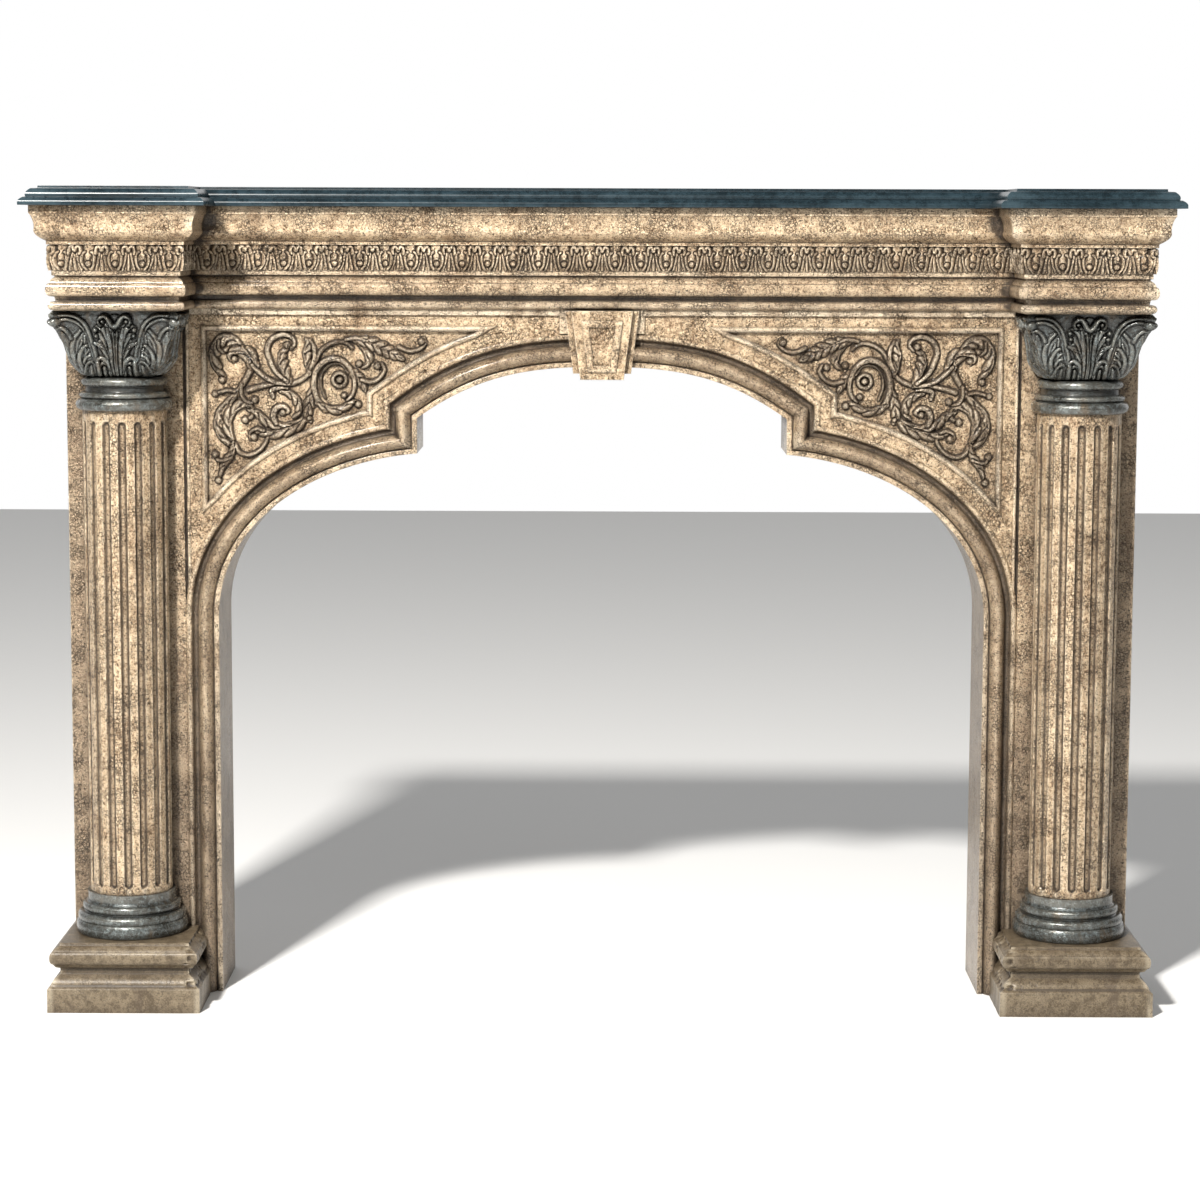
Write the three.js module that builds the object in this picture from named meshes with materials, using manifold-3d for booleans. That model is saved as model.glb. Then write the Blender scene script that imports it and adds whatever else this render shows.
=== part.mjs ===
// Fireplace mantel: a gilt surround with a stepped arch, engaged fluted columns and a slate shelf.
// Millimetres, +Z up. The pieces are drawn with the wall face at y = 0 and the front towards -Y, and the
// whole group is then moved back by half its depth, so that the origin is the middle of the footprint.
import * as THREE from "three";
import { mergeVertices } from "three/addons/utils/BufferGeometryUtils.js";
import Module from "manifold-3d";

const wasm = await Module();
wasm.setup();

// Gap between pieces that touch
const jointGap = 0.3;

// Rise given to a step that is level in the object, so that profiles always climb
const stepRise = 0.6;

// Shelf
const shelfWidth = 1900;
const shelfDepth = 366;
const shelfEndWidth = 303;
const centreRecess = 140;
const shelfLipHeight = 7.5;
const shelfRollHeight = 8.5;
const shelfRollInset = 7.5;
const shelfStepInset = 12.5;
const shelfCoveHeight = 10.5;
const shelfCoveInset = 18.5;
const shelfTopHeight = 4.6;
const shelfTopInset = 28.5;

// Gilt surround behind the columns
const panelDepth = 172;
const surroundHeight = 1170.3;
const pilasterSetback = 41;

// Fire opening, set out from the ends and the top of the surround
const jambSetIn = 296;
const lowArcRun = 340;
const crownDrop = 86.3;
const highArcRise = 88;
const archStep = 60;
const lowArcRise = 281;
const lowArcSteps = 8;
const highArcSteps = 5;

// Mouldings of the surround
const archMouldWidth = 50;
const archMouldProud = 14.5;
const facePlate = 8;
const beadWidth = 8;
const beadProud = 4.5;
const frameFromArch = 80;
const frameDrop = 23;
const frameSide = 275;
const frameTipShare = 0.627;
const frameFootRise = 188;
const fieldSunk = 4;
const quirkSide = 241.5;
const quirkWidth = 5;
const quirkDepth = 6;

// Entablature
const entablatureHeight = 181.4;
const footFilletHeight = 8.9;
const footFilletProud = 5;
const entablatureInset = 51;
const lowerRollHeight = 11.5;
const lowerRollInset = 41;
const neckHeight = 12.5;
const neckInset = 49.5;
const torusHeight = 21;
const torusInset = 36;
const slopeHeight = 12.5;
const bandFilletHeight = 8;
const bandFilletInset = 45.5;
const bandHeight = 42;
const bandPitch = 43.5;
const bandRelief = 4.5;
const bandInset = 40.5;
const bandFootInset = 45;
const bandHeadInset = 46.5;
const capFilletHeight = 6;
const capFilletInset = 38.5;
const cymaWaistInset = 21.5;
const crownFilletHeight = 13;
const crownFilletInset = 14.8;

// Keystone
const keyTopWidth = 124;
const keyFootWidth = 98;
const keyFootDrop = 11;
const keyHang = 10;
const keyBackProud = 14;
const keyFrontProud = 26;
const keyFrameProud = 31;
const keyFrontInset = 11;
const keyFrameInset = 26;
const keyFrameWidth = 11;
const keyFrameFoot = 3;
const keyFrameHead = 8;
const keyBorderWidth = 10;
const keyBorderProud = 4;
const keySocket = 10;

// Columns
const columnSetIn = 144;
const columnForward = 28;
const columnSides = 18;
const shaftFootRadius = 69.5;
const shaftNeckRadius = 71;
const fluteCount = 16;
const fluteWidth = 12;
const fluteDepth = 5;
const fluteTurn = 4.5;
const fluteCollar = 17;
const fluteFoot = 10;

// Plinths
const plinthWidth = 258;
const plinthSetback = 18;
const plinthReach = 159;
const plinthHeight = 116;

// Column base and capital
const baseHeight = 72;
const baseRadius = 95;
const capitalHeight = 168;
const capitalRingsHeight = 56;
const neckRadius = 65;
const bellFootRadius = 60;
const bellWaist = 84;
const bellHead = 99;
const hornReach = 11;
const leafProud = 8;

// Places worked out from the sizes above
const half = shelfWidth / 2;
const panelFace = -panelDepth;
const openingHalf = half - jambSetIn;
const stepHalfWidth = openingHalf - lowArcRun;
const crownHeight = surroundHeight - crownDrop;
const stepHighHeight = crownHeight - highArcRise;
const stepLowHeight = stepHighHeight - archStep;
const springHeight = stepLowHeight - lowArcRise;
const keyFootHeight = crownHeight - keyFootDrop;
const frameTipHalf = frameTipShare * stepHalfWidth;
const frameFootHeight = springHeight + frameFootRise;
const entablatureFoot = surroundHeight + jointGap;
const corniceFoot = entablatureFoot + footFilletHeight;
const entablatureTop = entablatureFoot + entablatureHeight;
const shelfFoot = entablatureTop + jointGap;
const frameTop = surroundHeight - frameDrop;
const frameSideX = -(half - frameSide);
const columnX = half - columnSetIn;
const columnY = panelFace - columnForward;
const capitalTop = corniceFoot - jointGap;
const capitalFoot = capitalTop - capitalHeight;
const shaftTop = capitalFoot - jointGap;
const baseFoot = plinthHeight + jointGap;
const shaftFoot = baseFoot + baseHeight + jointGap;

// Solids and meshes

function solidOf(geometry) {
  const bare = geometry.clone();
  for (const name of Object.keys(bare.attributes)) {
    if (name !== "position") bare.deleteAttribute(name);
  }
  const merged = mergeVertices(bare, 1e-4);
  return new wasm.Manifold(new wasm.Mesh({
    numProp: 3,
    vertProperties: new Float32Array(merged.attributes.position.array),
    triVerts: new Uint32Array(merged.index.array),
  }));
}

function geometryOf(solid) {
  const mesh = solid.getMesh();
  const geometry = new THREE.BufferGeometry();
  geometry.setAttribute("position", new THREE.BufferAttribute(new Float32Array(mesh.vertProperties), 3));
  geometry.setIndex(new THREE.BufferAttribute(new Uint32Array(mesh.triVerts), 1));
  geometry.computeVertexNormals();
  return geometry;
}

function geometryFrom(vertices, triangles) {
  const geometry = new THREE.BufferGeometry();
  geometry.setAttribute("position", new THREE.Float32BufferAttribute(vertices.flat(), 3));
  geometry.setIndex(triangles.flat());
  return geometry;
}

function joined(solids) {
  return solids.reduce((sum, solid) => sum.add(solid));
}

function block(x0, x1, y0, y1, z0, z1) {
  const geometry = new THREE.BoxGeometry(x1 - x0, y1 - y0, z1 - z0);
  geometry.translate((x0 + x1) / 2, (y0 + y1) / 2, (z0 + z1) / 2);
  return solidOf(geometry);
}

// A flat plate: an outline in x and z between two depths
function plate(outline, yFront, yBack) {
  const shape = new THREE.Shape(outline.map(([x, z]) => new THREE.Vector2(x, z)));
  const geometry = new THREE.ExtrudeGeometry(shape, { depth: yBack - yFront, bevelEnabled: false });
  geometry.rotateX(Math.PI / 2);
  geometry.translate(0, yBack, 0);
  return solidOf(geometry);
}

// Level outlines of [x, y] points joined upwards and closed at both ends
function stack(levels) {
  const count = levels[0].plan.length;
  const vertices = levels.flatMap(({ z, plan }) => plan.map(([x, y]) => [x, y, z]));
  const triangles = [];
  for (let row = 0; row + 1 < levels.length; row++) {
    for (let i = 0; i < count; i++) {
      const a = row * count + i;
      const b = row * count + (i + 1) % count;
      triangles.push([a, b, b + count], [a, b + count, a + count]);
    }
  }
  const last = (levels.length - 1) * count;
  const flat = ({ plan }) => plan.map(([x, y]) => new THREE.Vector2(x, y));
  const capOf = (level) => THREE.ShapeUtils.triangulateShape(flat(level), []);
  for (const [a, b, c] of capOf(levels[0])) triangles.push([c, b, a]);
  for (const [a, b, c] of capOf(levels.at(-1))) triangles.push([last + a, last + b, last + c]);
  return outwards(vertices, triangles);
}

// Rings of 3D points joined in order, and closed by fans or by joining the last to the first
function tubeOf(rings, closed) {
  const count = rings[0].length;
  const vertices = rings.flat();
  const triangles = [];
  const spans = closed ? rings.length : rings.length - 1;
  for (let row = 0; row < spans; row++) {
    const next = (row + 1) % rings.length;
    for (let i = 0; i < count; i++) {
      const j = (i + 1) % count;
      triangles.push([row * count + i, row * count + j, next * count + j]);
      triangles.push([row * count + i, next * count + j, next * count + i]);
    }
  }
  if (!closed) {
    const last = (rings.length - 1) * count;
    for (let i = 1; i + 1 < count; i++) {
      triangles.push([0, i + 1, i], [last, last + i, last + i + 1]);
    }
  }
  return outwards(vertices, triangles);
}

// A solid whose faces point out, whichever way round its rings were drawn
function outwards(vertices, triangles) {
  const at = (i) => new THREE.Vector3(...vertices[i]);
  const volume = triangles.reduce((sum, [a, b, c]) => sum + at(a).dot(at(b).cross(at(c))), 0);
  const faces = volume < 0 ? triangles.map(([a, b, c]) => [a, c, b]) : triangles;
  return solidOf(geometryFrom(vertices, faces));
}

// Moulding profiles: [out, z] points drawn upwards from a foot

function profile(out, z) {
  const points = [[out, z]];
  const pen = {
    points,
    // straight to a new setting-out after a rise
    to(rise, end) {
      const [, low] = points.at(-1);
      points.push([end, low + rise]);
      return pen;
    },
    // a roll that swells to its crest and comes back
    roll(rise, crest, end, steps = 4) {
      const [start, low] = points.at(-1);
      for (let i = 1; i <= steps; i++) {
        const turn = (Math.PI * i) / steps;
        const side = turn < Math.PI / 2 ? start : end;
        const reach = i === steps ? 0 : Math.sin(turn);
        points.push([side + (crest - side) * reach, low + (rise * (1 - Math.cos(turn))) / 2]);
      }
      return pen;
    },
    // a slope that bows out by a small amount, or in where the bow is negative
    bow(rise, end, swell, steps = 3) {
      const [start, low] = points.at(-1);
      for (let i = 1; i <= steps; i++) {
        const share = i / steps;
        const lift = 4 * swell * share * (1 - share);
        points.push([start + (end - start) * share + lift, low + rise * share]);
      }
      return pen;
    },
  };
  return pen;
}

// Shelf and entablature: both follow the plan with a forward step at each end

function steppedPlan(inset) {
  const outer = half - inset;
  const inner = half - shelfEndWidth + inset;
  const front = -(shelfDepth - inset);
  const middle = -(shelfDepth - centreRecess - inset);
  return [
    [-outer, 0], [-outer, front], [-inner, front], [-inner, middle],
    [inner, middle], [inner, front], [outer, front], [outer, 0],
  ];
}

function steppedStack(points) {
  return stack(points.map(([inset, z]) => ({ z, plan: steppedPlan(inset) })));
}

function shelfSolid() {
  const edge = profile(0, shelfFoot)
    .to(shelfLipHeight, 0)
    .bow(shelfRollHeight, shelfRollInset, -2)
    .to(stepRise, shelfStepInset)
    .bow(shelfCoveHeight, shelfCoveInset, -3)
    .to(stepRise, shelfTopInset)
    .to(shelfTopHeight - stepRise, shelfTopInset);
  return steppedStack(edge.points);
}

function cornicePoints() {
  const profileUp = profile(entablatureInset, corniceFoot)
    .roll(lowerRollHeight, lowerRollInset, bandFilletInset)
    .to(neckHeight - stepRise, neckInset)
    .to(stepRise, torusInset + 7)
    .roll(torusHeight, torusInset, torusInset + 5)
    .bow(slopeHeight - 2, neckInset, -2)
    .to(2, neckInset)
    .to(stepRise, bandFilletInset)
    .to(bandFilletHeight, bandFilletInset)
    .to(stepRise, entablatureInset);
  const bandZ = profileUp.points.at(-1)[1];
  const cymaFoot = bandZ + bandHeight + capFilletHeight;
  const cymaHeight = entablatureTop - crownFilletHeight - stepRise - cymaFoot;
  profileUp.to(bandHeight - stepRise, entablatureInset)
    .to(stepRise, capFilletInset)
    .to(capFilletHeight, capFilletInset)
    .bow(cymaHeight * 0.38, cymaWaistInset, -4)
    .bow(cymaHeight * 0.62, crownFilletInset + 1.2, 2.5)
    .to(stepRise, crownFilletInset)
    .to(crownFilletHeight, crownFilletInset);
  return { points: profileUp.points, bandZ };
}

// Leaf-and-dart band: each unit is a dart, a hollow, a leaf and a hollow, set out along every side of the
// plan. at is a share of the unit; relief is the foot, middle and head as shares of the band's relief.
const bandColumns = [
  { at: 0, relief: [0.8, 0.7, 0.6] },
  { at: 0.2, relief: [-0.1, -0.5, -0.1] },
  { at: 0.5, relief: [0.9, 1, 0.1] },
  { at: 0.8, relief: [-0.1, -0.5, -0.1] },
];

function bandSolid(bandZ) {
  const rows = [
    { inset: bandFootInset, z: bandZ - stepRise },
    { inset: bandInset, z: bandZ + 0.42 * bandHeight },
    { inset: bandHeadInset, z: bandZ + bandHeight + stepRise / 2 },
  ];
  const sideCount = steppedPlan(0).length - 1;
  const rings = [];
  for (let side = 0; side < sideCount; side++) {
    const [from, to] = planSide(side, bandInset);
    const length = Math.hypot(to[0] - from[0], to[1] - from[1]);
    const normal = [(to[1] - from[1]) / length, -(to[0] - from[0]) / length];
    const units = Math.max(1, Math.round(length / bandPitch));
    for (let unit = 0; unit < units; unit++) {
      for (const { at, relief } of bandColumns) {
        const mitred = unit === 0 && at === 0;
        rings.push(bandRing(rows, side, (unit + at) / units, mitred ? null : normal, relief));
      }
    }
  }
  rings.push(bandRing(rows, sideCount - 1, 1, [1, 0], bandColumns[0].relief));
  return tubeOf(rings, false);
}

function planSide(side, inset) {
  const plan = steppedPlan(inset);
  return [plan[side], plan[side + 1]];
}

// One cross-section of the band. At a corner its relief grows along the mitre instead of the normal.
function bandRing(rows, side, share, normal, relief) {
  const along = (inset) => {
    const [a, b] = planSide(side, inset);
    return [a[0] + (b[0] - a[0]) * share, a[1] + (b[1] - a[1]) * share];
  };
  const front = rows.map(({ inset, z }, row) => {
    const proud = relief[row] * bandRelief;
    if (!normal) return [...along(inset - proud), z];
    const [x, y] = along(inset);
    return [x + normal[0] * proud, y + normal[1] * proud, z];
  });
  const back = [rows.at(-1), rows[0]].map(({ z }) => [...along(entablatureInset + 3), z]);
  return [...front, ...back];
}

function entablatureSolid() {
  const { points, bandZ } = cornicePoints();
  const outer = half - entablatureInset;
  const inner = half - shelfEndWidth + entablatureInset;
  const seat = block(-outer, outer, panelFace, 0, entablatureFoot, corniceFoot + 1);
  const footFillet = block(-inner, inner, panelFace - footFilletProud, -panelDepth / 2,
    entablatureFoot, corniceFoot + 1);
  return joined([steppedStack(points), bandSolid(bandZ), seat, footFillet]);
}

// The arch: half of its edge as points from the floor to the crown, then the mirrored half

function archEdge() {
  const point = (x, z) => new THREE.Vector2(x, z);
  const spring = point(-openingHalf, springHeight);
  const stepLow = point(-stepHalfWidth, stepLowHeight);
  const stepHigh = point(-stepHalfWidth, stepHighHeight);
  const crown = point(0, crownHeight);
  const lowArc = new THREE.CubicBezierCurve(spring, point(spring.x, springHeight + 0.57 * lowArcRise),
    point(stepLow.x - 0.53 * lowArcRun, stepLowHeight - 0.055 * lowArcRise), stepLow);
  const highArc = new THREE.CubicBezierCurve(stepHigh,
    point(stepHigh.x + 0.335 * stepHalfWidth, stepHighHeight + 0.86 * highArcRise),
    point(-0.38 * stepHalfWidth, crownHeight), crown);
  return [point(-openingHalf, 0), ...lowArc.getPoints(lowArcSteps), ...highArc.getPoints(highArcSteps)];
}

function mirrored(points) {
  return points.slice(0, -1).reverse().map(({ x, y }) => new THREE.Vector2(-x, y));
}

// Points moved sideways from a path, to the left of its direction, with mitred corners
function offsetPath(path, distance, closed = false) {
  const leftOf = (from, to) => new THREE.Vector2(from.y - to.y, to.x - from.x).normalize();
  return path.map((here, i) => {
    const before = path[i - 1] ?? (closed ? path.at(-1) : null);
    const after = path[i + 1] ?? (closed ? path[0] : null);
    const n1 = before ? leftOf(before, here) : leftOf(here, after);
    const n2 = after ? leftOf(here, after) : leftOf(before, here);
    const mitre = n1.clone().add(n2).divideScalar(1 + n1.dot(n2));
    return here.clone().addScaledVector(mitre, distance);
  });
}

// A moulding along a path on the face: its section is [sideways, proud of the face] points
function moulding(path, section, closed = false) {
  const lines = section.map(([sideways]) => offsetPath(path, sideways, closed));
  const ringAt = (i) => section.map(([, proud], j) => [lines[j][i].x, panelFace - proud, lines[j][i].y]);
  const rings = path.map((_, i) => ringAt(i));
  return tubeOf(rings, closed);
}

function archMould(path) {
  const w = archMouldWidth;
  const crest = archMouldProud;
  const root = -(facePlate + 2);
  const groove = -facePlate / 2;
  const section = [
    [0, root], [0, 2], [0.13 * w, 2], [0.36 * w, 0.5 * crest], [0.54 * w, 0.95 * crest],
    [0.7 * w, 0.97 * crest], [0.82 * w, 0.45 * crest], [0.88 * w, groove], [w + 1, groove], [w + 1, root],
  ];
  return moulding(path, section);
}

// A rounded bead on the face, centred on its path
function bead(path, closed) {
  const w = beadWidth / 2;
  const root = -(fieldSunk + 2);
  return moulding(path, [[-w, root], [-w, 0], [0, beadProud], [w, 0], [w, root]], closed);
}

// The frame round a spandrel: the arch line moved out, closed by the side and the top of the face
function spandrelFrame(edge) {
  const line = offsetPath([...edge, ...mirrored(edge)], frameFromArch).slice(0, edge.length);
  const clearOfSides = ({ x }) => x > frameSideX + beadWidth && x < -frameTipHalf - 2 * beadWidth;
  const clearOfEnds = ({ y }) => y < frameTop - beadWidth && y > frameFootHeight + beadWidth;
  const inside = line.filter((point) => clearOfSides(point) && clearOfEnds(point));
  const tip = new THREE.Vector2(-frameTipHalf, frameTop);
  const corner = new THREE.Vector2(frameSideX, frameTop);
  const foot = new THREE.Vector2(frameSideX, frameFootHeight);
  return [foot, ...inside, tip, corner];
}

function jambPath(edge) {
  return [...edge, ...mirrored(edge)];
}

// Spandrel scrolls. Each stroke starts at a place measured in from the frame's top outer corner, sets off at
// an angle, turns evenly along its length and curls up at its tip. Leaves swell in the middle, stems don't.
const strokes = [
  { out: 85, drop: 56, aim: -57, long: 108, turn: 70, curl: 26, wide: 9, leaf: 0 },
  { out: 183, drop: 85, aim: 89, long: 112, turn: -75, curl: -95, wide: 9, leaf: 0 },
  { out: 203, drop: 26, aim: 41, long: 117, turn: -117, curl: -87, wide: 14, leaf: 0.6 },
  { out: 247, drop: 12, aim: -26, long: 100, turn: 2, curl: 16, wide: 21, leaf: 1 },
  { out: 332, drop: 32, aim: -22, long: 72, turn: 56, curl: 187, wide: 9, leaf: 0 },
  { out: 250, drop: 119, aim: -145, long: 236, turn: -346, curl: -47, wide: 11, leaf: 0.3 },
  { out: 232, drop: 110, aim: 178, long: 109, turn: -297, curl: -85, wide: 7, leaf: 0 },
  { out: 194, drop: 118, aim: -71, long: 83, turn: 177, curl: -111, wide: 13, leaf: 1 },
  { out: 268, drop: 84, aim: -42, long: 62, turn: 158, curl: 5, wide: 10, leaf: 0 },
  { out: 126, drop: 85, aim: 135, long: 130, turn: -130, curl: -153, wide: 18, leaf: 0.8 },
  { out: 153, drop: 88, aim: 18, long: 91, turn: 108, curl: 2, wide: 15, leaf: 1 },
  { out: 80, drop: 58, aim: 77, long: 168, turn: 265, curl: 11, wide: 16, leaf: 0.8 },
  { out: 85, drop: 54, aim: 110, long: 58, turn: 111, curl: 168, wide: 10, leaf: 0.5 },
  { out: 77, drop: 62, aim: -94, long: 91, turn: -69, curl: -69, wide: 9, leaf: 0 },
  { out: 62, drop: 111, aim: -167, long: 131, turn: 120, curl: 37, wide: 18, leaf: 1 },
  { out: 71, drop: 105, aim: -7, long: 70, turn: 69, curl: -256, wide: 8, leaf: 0 },
  { out: 136, drop: 97, aim: -74, long: 60, turn: 77, curl: -175, wide: 13, leaf: 1 },
  { out: 61, drop: 92, aim: -113, long: 59, turn: 135, curl: 51, wide: 8, leaf: 0 },
  { out: 44, drop: 190, aim: 117, long: 157, turn: -199, curl: -75, wide: 17, leaf: 0.6 },
  { out: 82, drop: 177, aim: -9, long: 98, turn: 53, curl: 1, wide: 20, leaf: 1 },
  { out: 184, drop: 92, aim: -78, long: 57, turn: -36, curl: 4, wide: 12, leaf: 1 },
  { out: 51, drop: 208, aim: -28, long: 77, turn: 102, curl: 25, wide: 9, leaf: 0 },
  { out: 52, drop: 200, aim: -99, long: 67, turn: -56, curl: 48, wide: 11, leaf: 0.6 },
];
const strokeStep = 62;
const strokeTurn = 160;
const strokeProud = 4.5;
const strokeRoot = 3;

function strokePoints({ out, drop, aim, long, turn, curl }) {
  const fine = 24;
  const place = new THREE.Vector2(frameSideX + out, frameTop - drop);
  const points = [{ place: place.clone(), share: 0 }];
  const radians = Math.PI / 180;
  for (let i = 0; i < fine; i++) {
    const share = (i + 0.5) / fine;
    const heading = (aim + turn * share + curl * share ** 4) * radians;
    place.x += (Math.cos(heading) * long) / fine;
    place.y += (Math.sin(heading) * long) / fine;
    points.push({ place: place.clone(), share: (i + 1) / fine });
  }
  const bending = (Math.abs(turn) + Math.abs(curl)) / strokeTurn;
  const spans = Math.max(2, Math.round(long / strokeStep + bending));
  return Array.from({ length: spans + 1 }, (_, i) => points[Math.round((i * fine) / spans)]);
}

function strokeSolid(stroke) {
  const stations = strokePoints(stroke);
  const line = stations.map(({ place }) => place);
  const widthAt = (share) => {
    const swell = Math.sin(Math.PI * Math.min(1, 0.12 + 0.86 * share));
    return (stroke.wide / 2) * ((1 - stroke.leaf) * (1 - 0.35 * share) + stroke.leaf * Math.max(0.25, swell));
  };
  const left = offsetPath(line, 1);
  const rings = stations.map(({ place, share }, i) => {
    const w = widthAt(share);
    const side = left[i].clone().sub(place).multiplyScalar(w);
    return [
      [place.x + side.x, panelFace + fieldSunk + strokeRoot, place.y + side.y],
      [place.x, panelFace - strokeProud, place.y],
      [place.x - side.x, panelFace + fieldSunk + strokeRoot, place.y - side.y],
    ];
  });
  return tubeOf(rings, false);
}

function mirrorX(solid) {
  return solid.mirror([1, 0, 0]);
}

function bothSides(solid) {
  return solid.add(mirrorX(solid));
}

// Tapered outline of the keystone, from its foot to the top, grown by a margin
function keyOutline(margin, footZ, topZ) {
  const slope = (keyTopWidth - keyFootWidth) / 2 / (surroundHeight - keyFootHeight);
  const widthAt = (z) => keyFootWidth / 2 + slope * (z - keyFootHeight) + margin;
  return [[-widthAt(footZ), footZ], [widthAt(footZ), footZ], [widthAt(topZ), topZ], [-widthAt(topZ), topZ]];
}

function keystoneSolid() {
  const fillet = panelFace - footFilletProud - jointGap;
  const back = plate(keyOutline(0, keyFootHeight, surroundHeight - jointGap),
    panelFace - keyBackProud, panelFace + keySocket);
  const cap = plate(keyOutline(0, surroundHeight - 2, capitalTop), panelFace - keyBackProud, fillet);
  const front = plate(keyOutline(-keyFrontInset, keyFootHeight - keyHang, capitalTop),
    panelFace - keyFrontProud, fillet);
  const foot = keyFootHeight + keyFrameFoot;
  const head = surroundHeight - keyFrameHead;
  const frame = plate(keyOutline(-keyFrameInset, foot, head),
    panelFace - keyFrameProud, panelFace - keyBackProud);
  const sunk = plate(keyOutline(-keyFrameInset - keyFrameWidth, foot + keyFrameWidth, head - keyFrameWidth),
    panelFace - keyFrameProud - 1, panelFace - keyFrontProud);
  return joined([back, cap, front, frame]).subtract(sunk);
}

function surroundSolid() {
  const edge = archEdge();
  const path = jambPath(edge);
  const side = half - pilasterSetback;
  const outlineWith = (distance) => [
    [-side, 0], ...offsetPath(path, distance).map(({ x, y }) => [x, y]), [side, 0],
    [side, surroundHeight], [-side, surroundHeight],
  ];
  const core = plate(outlineWith(0), panelFace + facePlate, 0);
  const face = plate(outlineWith(archMouldWidth), panelFace, panelFace + facePlate + 1);

  const frame = spandrelFrame(edge);
  const field = plate(offsetPath(frame, beadWidth / 2 - 0.6, true).map(({ x, y }) => [x, y]),
    panelFace - 1, panelFace + fieldSunk);
  const quirkMiddle = -(half - quirkSide);
  const quirk = block(quirkMiddle - quirkWidth / 2, quirkMiddle + quirkWidth / 2,
    panelFace - 1, panelFace + quirkDepth, springHeight, surroundHeight + 1);
  const keyBorder = block(-(keyTopWidth / 2 + keyBorderWidth), -keyFootWidth / 2,
    panelFace - keyBorderProud, panelFace + 1, crownHeight + archMouldWidth - 1, surroundHeight);

  const scrolls = joined(strokes.map(strokeSolid));
  const raised = joined([bead(frame, true), keyBorder, scrolls]);
  const sunk = joined([field, quirk]);
  const body = core.add(face).subtract(bothSides(sunk)).add(bothSides(raised)).add(archMould(path));

  const plinthSeat = block(-(half - plinthSetback), -(half - plinthSetback - plinthWidth) + jointGap,
    -shelfDepth, panelFace, -1, plinthHeight + jointGap);
  const keySeat = plate(keyOutline(jointGap, keyFootHeight - keyHang - 1, surroundHeight + 1),
    -shelfDepth, panelFace + keySocket + jointGap);
  return body.subtract(bothSides(plinthSeat)).subtract(keySeat);
}

// Columns, drawn at the left and mirrored for the right

function frontOfPanel(solid) {
  const far = shelfWidth;
  return solid.intersect(block(-far, far, -far, panelFace - jointGap, 0, far));
}

function turned(points) {
  const outline = [[0, points[0][1]], ...points, [0, points.at(-1)[1]]];
  const geometry = new THREE.LatheGeometry(outline.map(([r, z]) => new THREE.Vector2(r, z)), columnSides);
  geometry.rotateX(Math.PI / 2);
  geometry.translate(-columnX, columnY, 0);
  return solidOf(dropSlivers(geometry));
}

// Triangles of a turned piece that have shrunk to nothing on the axis are left out
function dropSlivers(geometry) {
  const bare = geometry.clone();
  bare.deleteAttribute("normal");
  bare.deleteAttribute("uv");
  const merged = mergeVertices(bare, 1e-4);
  const index = [...merged.index.array];
  const kept = [];
  for (let i = 0; i < index.length; i += 3) {
    const [a, b, c] = index.slice(i, i + 3);
    if (a !== b && b !== c && a !== c) kept.push(a, b, c);
  }
  merged.setIndex(kept);
  return merged;
}

function baseSolid() {
  const r = baseRadius;
  const edge = profile(r - 3, baseFoot)
    .roll(0.32 * baseHeight, r, r - 5)
    .roll(0.2 * baseHeight, r - 3, r - 13, 3)
    .to(0.03 * baseHeight, r - 15)
    .roll(0.19 * baseHeight, r - 11, r - 17, 3);
  edge.points.push([r - 20, baseFoot + 0.8 * baseHeight], [r - 20, baseFoot + baseHeight]);
  return frontOfPanel(turned(edge.points));
}

function shaftSolid() {
  const flutedRing = (z, radius, depth) => {
    const plan = [];
    const pitch = (2 * Math.PI) / fluteCount;
    const halfFlute = fluteWidth / 2 / shaftFootRadius;
    for (let i = 0; i < fluteCount; i++) {
      const middle = i * pitch + (fluteTurn * Math.PI) / 180;
      for (const [turn, cut] of [[-1, 0], [-0.5, 1], [0.5, 1], [1, 0]]) {
        const angle = middle + turn * halfFlute;
        const r = radius - cut * depth;
        plan.push([-columnX + r * Math.sin(angle), columnY - r * Math.cos(angle)]);
      }
    }
    return { z, plan };
  };
  const swell = (shaftNeckRadius - shaftFootRadius) / (shaftTop - shaftFoot);
  const taper = (z) => shaftFootRadius + swell * (z - shaftFoot);
  const fluteLow = shaftFoot + fluteFoot;
  const fluteHigh = shaftTop - fluteCollar;
  const levels = [[shaftFoot, 0], [fluteLow, 0], [fluteLow + fluteDepth, 1], [fluteHigh - fluteDepth, 1],
    [fluteHigh, 0], [shaftTop, 0]];
  return frontOfPanel(stack(levels.map(([z, cut]) => flutedRing(z, taper(z), cut * fluteDepth))));
}

// Lines that climb the bell from its foot to its head: the middle leaf, the bare ground beside it, and the
// strong rib and the lobes of the corner leaf. They are given as shares of the way from the middle of a face
// to its corner, at the foot, halfway and at the head, with how far each stands out.
const climbingLines = [
  { foot: 0, middle: 0, head: 0, proud: 1 },
  { foot: 0.26, middle: 0.3, head: 0.2, proud: 0.75 },
  { foot: 0.33, middle: 0.38, head: 0.28, proud: 0 },
  { foot: 0.4, middle: 0.5, head: 0.92, proud: 1.1 },
  { foot: 0.7, middle: 0.76, head: 0.97, proud: 0.4 },
];
const bellRises = [0, 0.06, 0.18, 0.38, 0.6, 0.8, 0.93, 1];

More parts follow.
